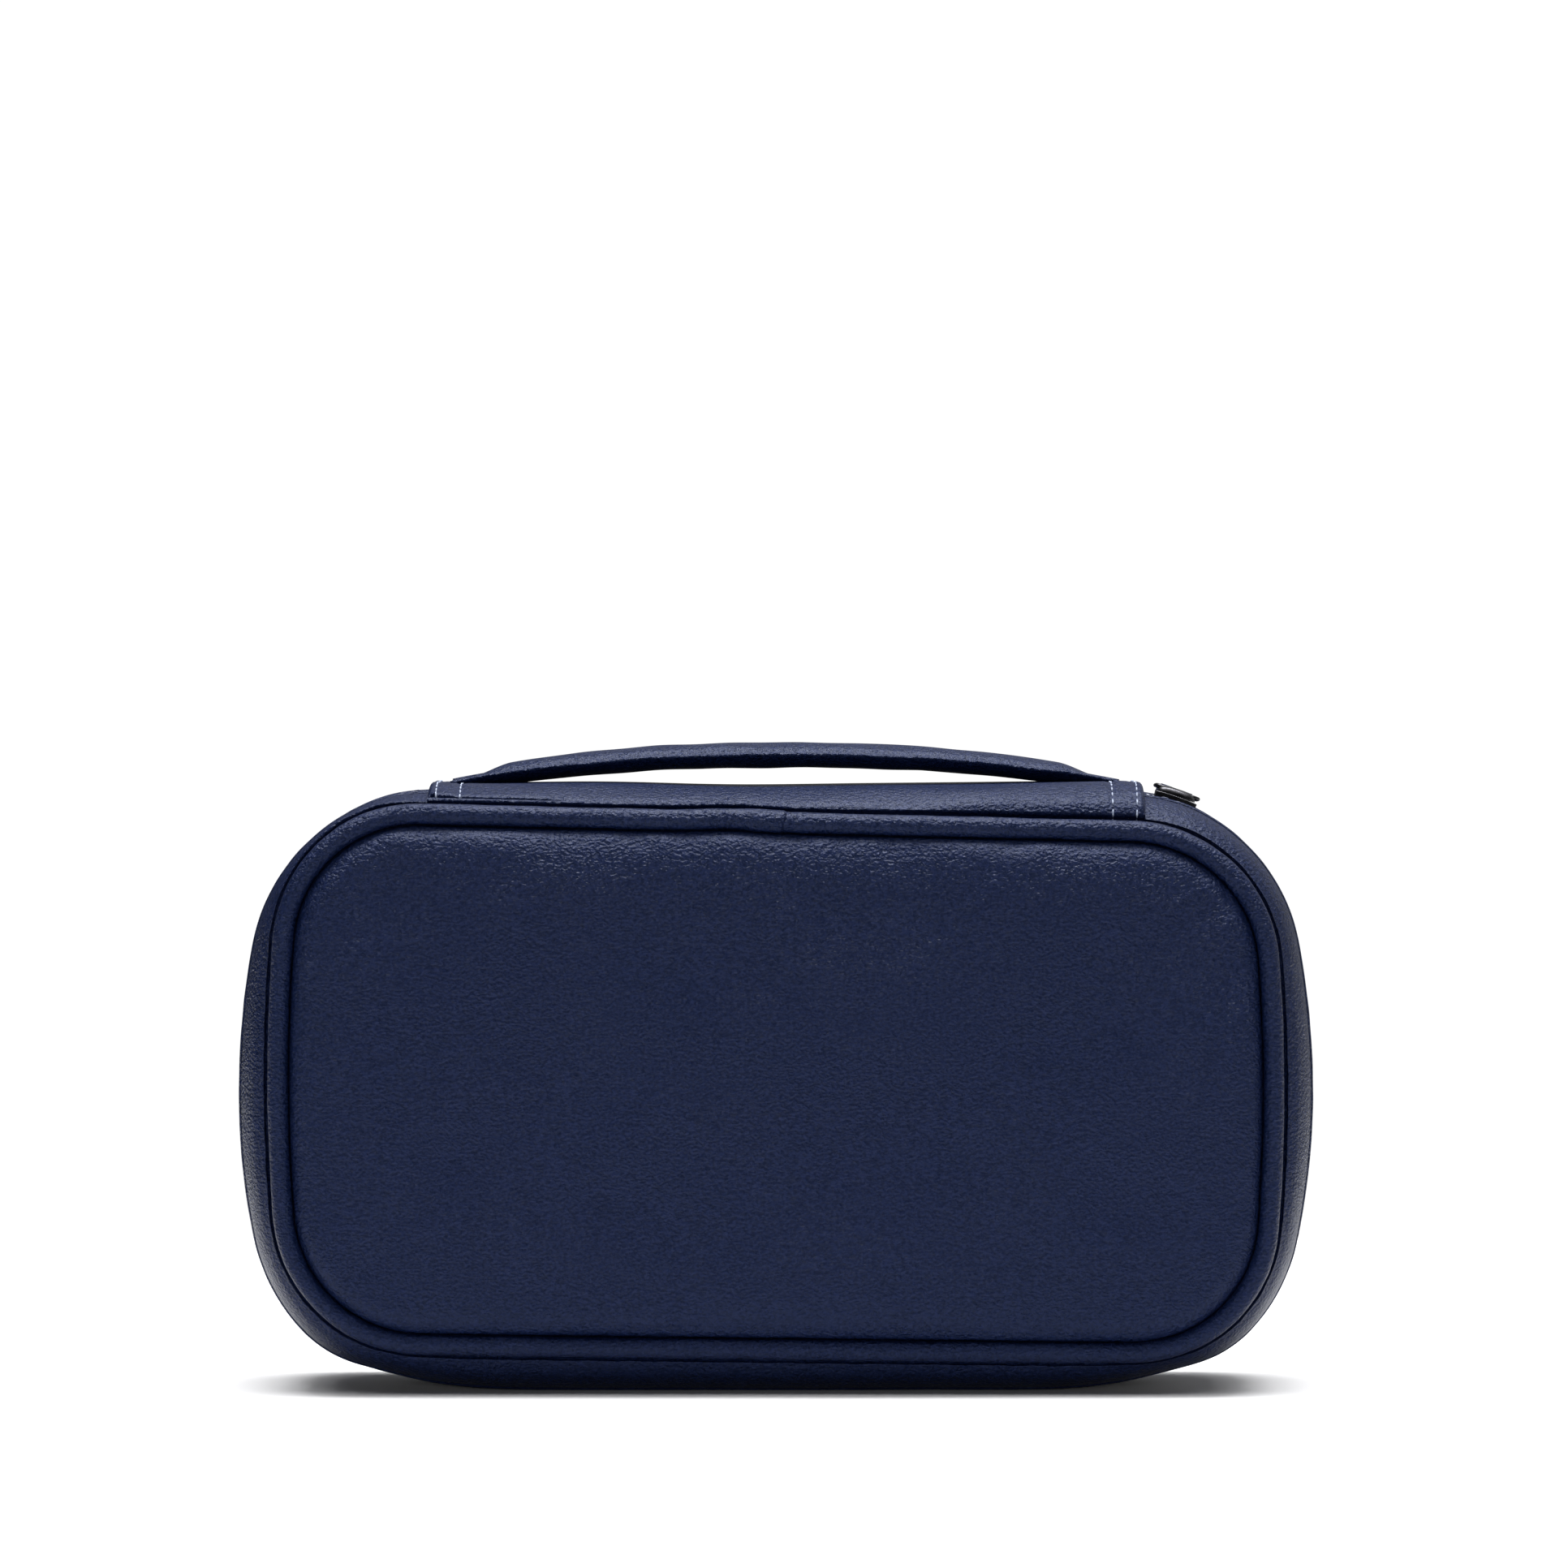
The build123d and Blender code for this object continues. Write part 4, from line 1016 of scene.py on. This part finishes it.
# ---------------------------------------------------------------- zip
def islands(cad_node):
    """Low and high corners of each separate block in a CAD node, in millimetres."""
    edit = bmesh.new()
    edit.from_mesh(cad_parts[cad_node].data)
    bmesh.ops.remove_doubles(edit, verts=edit.verts, dist=0.002 * MM)
    seen = set()
    blocks = []
    for first in edit.verts:
        if first in seen:
            continue
        seen.add(first)
        stack = [first]
        block = []
        while stack:
            here = stack.pop()
            block.append(list(here.co))
            for line in here.link_edges:
                other = line.other_vert(here)
                if other not in seen:
                    seen.add(other)
                    stack.append(other)
        blocks.append(np.array(block) / MM)
    edit.free()
    return blocks


TOOTH_OUTLINE = [(0.0, 0.30), (0.12, 0.52), (0.34, 0.66), (0.62, 0.60), (0.95, 0.44), (1.35, 0.44),
                 (1.9, 0.58), (2.3, 0.62)]


def tooth(block, facing, full):
    """Rounded moulded tooth in the place of a CAD block."""
    middle = block.mean(axis=0)
    near = int(np.argmin(np.hypot(full[:, 0] - middle[0], full[:, 1] - middle[2])))
    nx, nz = full[near, 2:]
    tip = block[:, 1].min() if facing == BACK else block[:, 1].max()
    root = block[:, 1].max() if facing == BACK else block[:, 1].min()
    length = abs(root - tip) + 0.25
    outline = [(reach * length / 2.3, half) for reach, half in TOOTH_OUTLINE]
    outline = outline + [(reach, -half) for reach, half in outline[::-1]]
    rings = []
    for height, shrink in ((1.25, 0.22), (1.08, 0.06), (0.8, 0.0), (-0.8, 0.0), (-1.08, 0.06),
                           (-1.25, 0.22)):
        row = []
        for reach, half in outline:
            y = tip + facing * (reach + (shrink if reach < length / 2 else 0.0))
            t = half * (1 - shrink)
            row.append((middle[0] + nx * height - nz * t, y, middle[2] + nz * height + nx * t))
        rings.append(row)
    count = len(outline)
    faces = grid_faces(len(rings), count, close_columns=True, flip=facing == FRONT)
    faces += end_caps(len(rings), count, flip=facing == FRONT)
    return np.array(rings).reshape(-1, 3), faces


def make_teeth():
    """Moulded zip teeth."""
    full = loop_of(ring_shape(1, 1.7))
    for cad_node, facing, body in (("zip_teeth_back", BACK, BACK_HALF),
                                   ("zip_teeth_front", FRONT, LID),
                                   ("zip_teeth_ends", FRONT, BACK_HALF)):
        points, faces = merge([tooth(block, facing, full) for block in islands(cad_node)])
        points = settle(points)
        piece = add_mesh(f"{cad_node}_moulded", points, faces)
        dress(piece, TEETH, body, "zip_metal", cad_node)


TEETH = metal("dark teeth", (0.05, 0.052, 0.06), (0.20, 0.205, 0.22), (0.3, 0.45))


def copy_of(*cad_nodes):
    """Mesh object with the same shape as some CAD nodes."""
    edit = bmesh.new()
    for cad_node in cad_nodes:
        edit.from_mesh(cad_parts[cad_node].data)
    bmesh.ops.remove_doubles(edit, verts=edit.verts, dist=0.002 * MM)
    mesh = bpy.data.meshes.new(f"{cad_nodes[0]}_shape")
    edit.to_mesh(mesh)
    edit.free()
    piece = bpy.data.objects.new(f"{cad_nodes[0]}_shape", mesh)
    bpy.context.scene.collection.objects.link(piece)
    return piece


def bevelled(cad_node, width, material, body, slot_name):
    """A CAD part with its edges rounded."""
    piece = copy_of(cad_node)
    made = piece.modifiers.new("bevel", "BEVEL")
    made.width = width * MM
    made.segments = 3
    made.limit_method = "ANGLE"
    made.angle_limit = math.radians(35)
    made.harden_normals = False
    apply_modifiers(piece)
    for polygon in piece.data.polygons:
        polygon.use_smooth = True
    piece.data.set_sharp_from_angle(angle=math.radians(40))
    return dress(piece, material, body, slot_name, cad_node)


def softened(cad_nodes, voxel, rounds, lumps, material, body, slot_name, seed=1, size=12):
    """A soft CAD part remeshed, rounded and a little uneven."""
    piece = copy_of(*cad_nodes)
    made = piece.modifiers.new("remesh", "REMESH")
    made.mode = "VOXEL"
    made.voxel_size = voxel * MM
    made.use_smooth_shade = True
    smooth = piece.modifiers.new("smooth", "SMOOTH")
    smooth.factor = 0.6
    smooth.iterations = rounds
    apply_modifiers(piece)
    points = coordinates(piece)
    normal = np.empty(len(points) * 3)
    piece.data.vertices.foreach_get("normal", normal)
    normal = normal.reshape(-1, 3)
    push = soft_noise(points[:, 0] + points[:, 1] * 0.7, points[:, 2] + points[:, 1], size, seed)
    set_coordinates(piece, points + normal * (lumps * push)[:, None])
    return dress(piece, material, body, slot_name, *cad_nodes)


def make_bridge():
    """Domed cover over the slider's bridge."""
    shape = ring_shape(1)
    cx, cz, _ = corner_of(shape)
    turn = math.radians(SLIDER_ANGLE)
    out = np.array([math.cos(turn), 0, math.sin(turn)])
    along = np.array([math.sin(turn), 0, -math.cos(turn)])
    origin = np.array([cx, ZIP_Y, shape["middle"] + cz]) + out * (CORNER_RADIUS + 0.75)
    around = np.linspace(0, 2 * math.pi, 48, endpoint=False)
    rings = []
    for t in np.linspace(0, 0.97, 12):
        size = math.cos(t * math.pi / 2) ** 0.62
        height = 1.65 * math.sin(t * math.pi / 2) ** 0.85
        square = (np.abs(np.cos(around)) ** 2.6 + np.abs(np.sin(around)) ** 2.6) ** (-1 / 2.6)
        rings.append(origin + out * height
                     + along * (4.35 * size * np.cos(around) * square)[:, None]
                     + np.array([0, 1, 0]) * (2.35 * size * np.sin(around) * square)[:, None])
    faces = grid_faces(len(rings), 48, close_columns=True, flip=True)
    faces += end_caps(len(rings), 48, flip=True)
    piece = add_mesh("slider_bridge_dome", rings, faces)
    if piece.data.polygons[0].normal.dot(Vector(along)) < 0:
        piece.data.flip_normals()
    dress(piece, GUNMETAL, "zip_slider", "zip_metal", "zip_slider_bridge")


# ---------------------------------------------------------------- inside
LINING_WALL_END = 18.5
LINING_WALL_INSET = 4.2


def make_lining(facing, edge, name, body):
    """Suede lining of one half: over the board's edge, along the wall and across the panel."""
    profile = [(edge + 0.6, 1, 2.3), (edge + 0.1, 1, 2.5), (edge - 0.02, 1, 2.9),
               (edge + 0.1, 1, 3.5), (edge + 0.6, 1, 4.05)]
    profile += [(depth, float(share_at(depth * 0.8)), LINING_WALL_INSET)
                for depth in np.linspace(edge + 1.6, LINING_WALL_END, 14)]
    share = float(share_at(LINING_WALL_END * 0.8))
    for t in np.linspace(0.12, 1, 7):
        profile.append((LINING_WALL_END + 3.7 * math.sin(t * math.pi / 2), share,
                        LINING_WALL_INSET + 4.2 * (1 - math.cos(t * math.pi / 2))))
    slack = closed_wave(LOOP, [9, 15, 23, 37], 44 + facing) * 0.14
    rows = [ring(depth, step_share, inset, facing,
                 slack * float(smooth_step(edge, edge + 6, depth)))
            for depth, step_share, inset in profile]
    last = rows[-1]
    middle = (SEAM_MIDDLE + CASE_MIDDLE) / 2
    target = np.stack([np.clip(last[:, 0], -62, 62), last[:, 1], np.full(LOOP, middle)], axis=1)
    for step in range(1, 27):
        rows.append(last + (target - last) * step / 26)
    grid = np.array(rows)
    flat = smooth_step(20.0, 22.2, np.abs(grid[:, :, 1]))
    grid[:, :, 1] += 0.22 * flat * soft_noise(grid[:, :, 0], grid[:, :, 2], 34, 61 + facing)
    piece = add_mesh(f"{name}_lining", grid,
                     grid_faces(len(rows), LOOP, close_columns=True, flip=facing == BACK))
    drop_doubles(piece)
    dress(piece, SUEDE, body, "suede", f"{name}_gusset_lining", f"{name}_panel_lining")


def make_ring_rolls():
    """Six padded rolls, round-ended and a little uneven."""
    for index in range(6):
        cad_node = f"ring_roll_{index + 1}"
        low, high = node_box(cad_node)
        depth = high[1] - low[1]
        half = (high[2] - low[2]) / 2 - 0.1
        middle = (high[2] + low[2]) / 2
        xs = np.concatenate([np.array([0, 0.15, 0.5, 1.1, 2.0, 3.2, 4.8]),
                             np.linspace(6.5, high[0] - low[0] - 6.5, 46),
                             (high[0] - low[0]) - np.array([4.8, 3.2, 2.0, 1.1, 0.5, 0.15, 0])])
        rows = []
        angle = np.linspace(0, 2 * math.pi, 44, endpoint=False)
        for x in xs:
            near = min(x, high[0] - low[0] - x)
            end = math.sqrt(max(0.0, 1 - (1 - min(near / 6.0, 1)) ** 2.4))
            size = 0.22 + 0.78 * end
            y = np.sin(angle)
            z = np.cos(angle)
            square = (np.abs(y) ** 3.2 + np.abs(z) ** 3.2) ** (-1 / 3.2)
            flatten = np.where(y < 0, 1.0, square)
            rows.append(np.stack([np.full(44, low[0] + x),
                                  high[1] - depth / 2
                                  + y * flatten * depth / 2 * (0.35 + 0.65 * end)
                                  + (1 - end) * 1.2,
                                  middle + z * flatten * half * size], axis=1))
        grid = np.array(rows)
        u = grid[:, :, 0] * 0.9
        v = angle[None, :] * 5 + index * 7
        swell = 0.22 * soft_noise(u, v, 13, 70 + index) + 0.12 * soft_noise(u, v * 2, 5, 90 + index)
        centre = np.array([0, high[1] - depth / 2, middle])
        away = (grid - centre) * [0, 1, 1]
        away /= np.maximum(np.linalg.norm(away, axis=2, keepdims=True), 1e-6)
        grid = grid + away * np.clip(swell, -0.6, 0.3)[:, :, None]
        faces = grid_faces(len(xs), 44, close_columns=True)
        faces += end_caps(len(xs), 44)
        piece = add_mesh(f"ring_roll_pad_{index + 1}", grid, faces)
        dress(piece, ROLL_SUEDE, BACK_HALF, "suede", cad_node)


def make_pocket():
    """Gathered suede pocket on the lid's lining, drawn in by an elastic at its mouth."""
    low, high = node_box("lid_pocket")
    columns, rows = 260, 40
    u = np.linspace(0, 1, columns)
    v = np.linspace(0, 1, rows)
    grid = np.empty((rows, columns, 3))
    bend_u = u + 0.006 * np.sin(2 * math.pi * 3 * u + 1)
    for row, down in enumerate(v):
        gather = (1 - down) ** 1.3
        pleat = sum(np.sin(2 * math.pi * wave * bend_u + phase + 1.4 * down * lean)
                    for wave, phase, lean in ((31, 0.2, 1), (44, 1.9, -1.5), (23, 4.1, 2))) / 2.2
        belly = math.sin(math.pi * min(1.0, 0.12 + down * 0.95)) ** 0.7
        edge = np.clip(np.minimum(u, 1 - u) / 0.035, 0, 1)
        edge = np.sqrt(1 - (1 - edge) ** 2)
        foot = math.sqrt(max(0.0, 1 - max(0.0, (down - 0.88) / 0.12) ** 2))
        out = (2.4 + 3.4 * belly) * foot * (0.25 + 0.75 * edge)
        out = out + 0.55 * pleat * gather * edge * foot + 0.3 * edge * foot * soft_noise(
            u * 184, np.full(columns, down * 46), 28, 14)
        grid[row, :, 0] = low[0] + 1 + u * (high[0] - low[0] - 2)
        grid[row, :, 1] = low[1] + 0.1 + np.clip(out, 0.1, None)
        grid[row, :, 2] = high[2] - down * (high[2] - low[2] - 0.6)
    piece = add_mesh("lid_pocket_suede", grid, grid_faces(rows, columns, flip=True))
    thick = piece.modifiers.new("thickness", "SOLIDIFY")
    thick.thickness = 0.8 * MM
    apply_modifiers(piece)
    dress(piece, SUEDE, LID, "suede", "lid_pocket")
    e_low, e_high = node_box("lid_pocket_elastic")
    columns = 420
    angle = np.linspace(0, 2 * math.pi, 18, endpoint=False)
    square = (np.abs(np.cos(angle)) ** 4 + np.abs(np.sin(angle)) ** 4) ** -0.25
    xs = np.linspace(e_low[0] + 1.2, e_high[0] - 1.2, columns)
    ruffle = 0.22 * np.sin(xs * 2 * math.pi / 2.1 + 0.5 * np.sin(xs / 9))
    y_middle = low[1] + 3.2
    rings = np.empty((columns, 18, 3))
    for index, x in enumerate(xs):
        rings[index, :, 0] = x
        rings[index, :, 1] = y_middle + (0.95 + ruffle[index]) * np.cos(angle) * square
        rings[index, :, 2] = ((e_low[2] + e_high[2]) / 2 - 0.6
                              + (2.0 + 0.5 * ruffle[index]) * np.sin(angle) * square)
    faces = grid_faces(columns, 18, close_columns=True)
    faces += end_caps(columns, 18)
    band = add_mesh("pocket_elastic_band", rings, faces)
    dress(band, ELASTIC, LID, "elastic", "lid_pocket_elastic")


STITCH_INSET = 1.1
STITCH_CORNER = 2.0
STITCH_PITCH = 2.6


def edge_stitches(name, x_range, z_range, y, facing, body):
    """Stitches round a flat upright piece, just inside its edge."""
    x0, x1 = x_range[0] + STITCH_INSET, x_range[1] - STITCH_INSET
    z0, z1 = z_range[0] + STITCH_INSET, z_range[1] - STITCH_INSET
    places = []
    for x in np.arange(x0 + STITCH_CORNER, x1 - STITCH_CORNER + 0.1, STITCH_PITCH):
        for z in (z0, z1):
            places.append(((x, y, z), (1, 0, 0), (0, facing, 0)))
    for z in np.arange(z0 + STITCH_CORNER, z1 - STITCH_CORNER + 0.1, STITCH_PITCH):
        for x in (x0, x1):
            places.append(((x, y, z), (0, 0, 1), (0, facing, 0)))
    points, faces = stitch_mesh(places, STITCH_PITCH * 0.7, 0.17)
    return dress(add_mesh(name, points, faces), TAUPE_THREAD, body, "suede")


def make_inside():
    """Contents of both halves."""
    make_lining(BACK, ZIP_Y + WINDOW_HALF, "back", BACK_HALF)
    make_lining(FRONT, -(ZIP_Y - WINDOW_HALF), "front", LID)
    make_ring_rolls()
    softened(["ring_roll_base"], 0.9, 6, 0.12, SUEDE, BACK_HALF, "suede")
    wall = softened(["tray_wall"], 0.55, 5, 0.10, SUEDE, BACK_HALF, "suede", 3, 16)
    floor_piece = softened(["tray_floor"], 0.8, 6, 0.12, SUEDE, BACK_HALF, "suede", 5, 22)
    for index, cad_node in enumerate(("tray_divider_upright", "tray_shelf_left",
                                      "tray_shelf_right")):
        softened([cad_node], 0.45, 5, 0.07, SUEDE, BACK_HALF, "suede", 7 + index, 12)
    make_pocket()
    strip = softened(["necklace_strip"], 0.5, 5, 0.08, SUEDE, LID, "suede", 12, 14)
    low, high = node_box("necklace_strip")
    edge_stitches("necklace_strip_stitches", (low[0], high[0]), (low[2], high[2]), high[1] - 0.05,
                  BACK, LID)
    for index in range(1, 5):
        body = f"necklace_tab_{index}"
        low, high = node_box(body)
        tab = softened([body], 0.32, 4, 0.05, SUEDE, body, "suede", 20 + index, 9)
        edge_stitches(f"{body}_stitches", (low[0], high[0]), (low[2], high[2]), high[1] - 0.02,
                      BACK, body)
        bevelled(f"snap_cap_{index}", 0.25, NICKEL, body, "snap_metal")


# ---------------------------------------------------------------- build
make_gusset(BACK, ZIP_Y + WINDOW_HALF, "back", BACK_HALF)
make_gusset(FRONT, -(ZIP_Y - WINDOW_HALF), "front", LID)
window_stitches(BACK, ZIP_Y + WINDOW_HALF, "back", BACK_HALF)
window_stitches(FRONT, -(ZIP_Y - WINDOW_HALF), "front", LID)
make_piping(FRONT, "front", LID)
make_piping(BACK, "back", BACK_HALF)
make_panel(FRONT, "front", LID)
make_panel(BACK, "back", BACK_HALF)
make_spine()
make_fold_lining()
make_handle()
make_teeth()
make_inside()
bevelled("zip_slider_body", 0.12, GUNMETAL, "zip_slider", "zip_metal")
make_bridge()
bevelled("zip_pull_link", 0.05, GUNMETAL, "zip_pull", "zip_metal")
pull = softened(["zip_pull_tab"], 0.22, 4, 0.03, LEATHER, "zip_pull", "navy_leather", 31, 6)

for name in ("zip_tape_back", "zip_tape_front", "zip_tape_left_end", "zip_tape_right_end",
             "front_gusset_board", "back_gusset_board"):
    piece = copy_of(name)
    body = LID if name in ("zip_tape_front", "front_gusset_board") else BACK_HALF
    set_coordinates(piece, settle(coordinates(piece)))
    piece.data.set_sharp_from_angle(angle=math.radians(40))
    if "tape" in name:
        dress(piece, TAPE, body, "zip_tape", name)
    else:
        dress(piece, BOARD, body, "board", name)

CAD_MATERIALS = {"panel_board": BOARD, "snap_posts": NICKEL}
for name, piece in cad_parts.items():
    for key, material in CAD_MATERIALS.items():
        if key in name:
            piece.data.materials.clear()
            piece.data.materials.append(material)

# ---------------------------------------------------------------- stage, light and camera
floor_material, _, floor_shader = new_material("floor")
floor_shader.inputs["Base Color"].default_value = (0.76, 0.76, 0.77, 1)
floor_shader.inputs["Roughness"].default_value = 0.7
# The floor's edges stay where its picture is clipped to white
FLOOR_SIDE, FLOOR_FRONT, FLOOR_BACK = 450, -750, 430
floor = add_mesh("floor", [(-FLOOR_SIDE, FLOOR_FRONT, 0), (FLOOR_SIDE, FLOOR_FRONT, 0),
                           (FLOOR_SIDE, FLOOR_BACK, 0), (-FLOOR_SIDE, FLOOR_BACK, 0)],
                 [(0, 1, 2, 3)], smooth=False)
floor.data.materials.append(floor_material)


def area_light(name, place_m, aim_m, size, power):
    """Soft rectangular light."""
    lamp = bpy.data.lights.new(name, "AREA")
    lamp.shape = "RECTANGLE"
    lamp.size, lamp.size_y = size
    lamp.energy = power
    piece = bpy.data.objects.new(name, lamp)
    piece.location = place_m
    aim = Vector(aim_m) - Vector(place_m)
    piece.rotation_euler = aim.to_track_quat("-Z", "Y").to_euler()
    bpy.context.scene.collection.objects.link(piece)
    return piece


area_light("top light", (0.0, -0.05, 1.55), (0, 0, 0), (2.3, 2.3), 42)
area_light("strip light", (0.0, 0.02, 1.15), (0, 0.02, 0.1), (1.1, 0.22), 26)
area_light("right light", (1.05, 0.25, 0.42), (0, 0, 0.07), (0.6, 0.7), 1.1)
fill = area_light("front fill", (-0.25, -1.4, 0.16), (0, 0, 0.04), (1.4, 0.22), 6)
fill.visible_glossy = False

world = bpy.data.worlds.new("studio")
bpy.context.scene.world = world
world.use_nodes = True
sky = world.node_tree
direction = node(sky, "TexCoord")
toward = node(sky, "VectorMath", {1: (0.42, 0.88, 0.22)}, operation="DOT_PRODUCT")
sky.links.new(direction.outputs["Generated"], toward.inputs[0])
behind = ramp(sky, toward.outputs["Value"], [(0.0, (0.03,)), (0.78, (0.04,)), (0.99, (0.45,))])
seen = node(sky, "LightPath")
backdrop = mix_colour(sky, seen.outputs["Is Camera Ray"], behind, (1.0, 1.0, 1.0))
sky.links.new(backdrop, sky.nodes["Background"].inputs["Color"])
sky.nodes["Background"].inputs["Strength"].default_value = 1.05

AIM = (0.0018, -0.027, 0.1358)
CAMERA_Y = -2.027
CAMERA_RISE = 0.0524
LENS_MM = 207.3
camera = bpy.data.cameras.new("camera")
camera.sensor_width = 36
camera.lens = LENS_MM
camera.clip_end = 50
lens = bpy.data.objects.new("camera", camera)
bpy.context.scene.collection.objects.link(lens)
aim_at = Vector(AIM)
lens.location = (AIM[0], CAMERA_Y, AIM[2] + CAMERA_RISE)
lens.rotation_euler = (aim_at - lens.location).to_track_quat("-Z", "Y").to_euler()
bpy.context.scene.camera = lens
bpy.context.scene.view_settings.view_transform = "Standard"
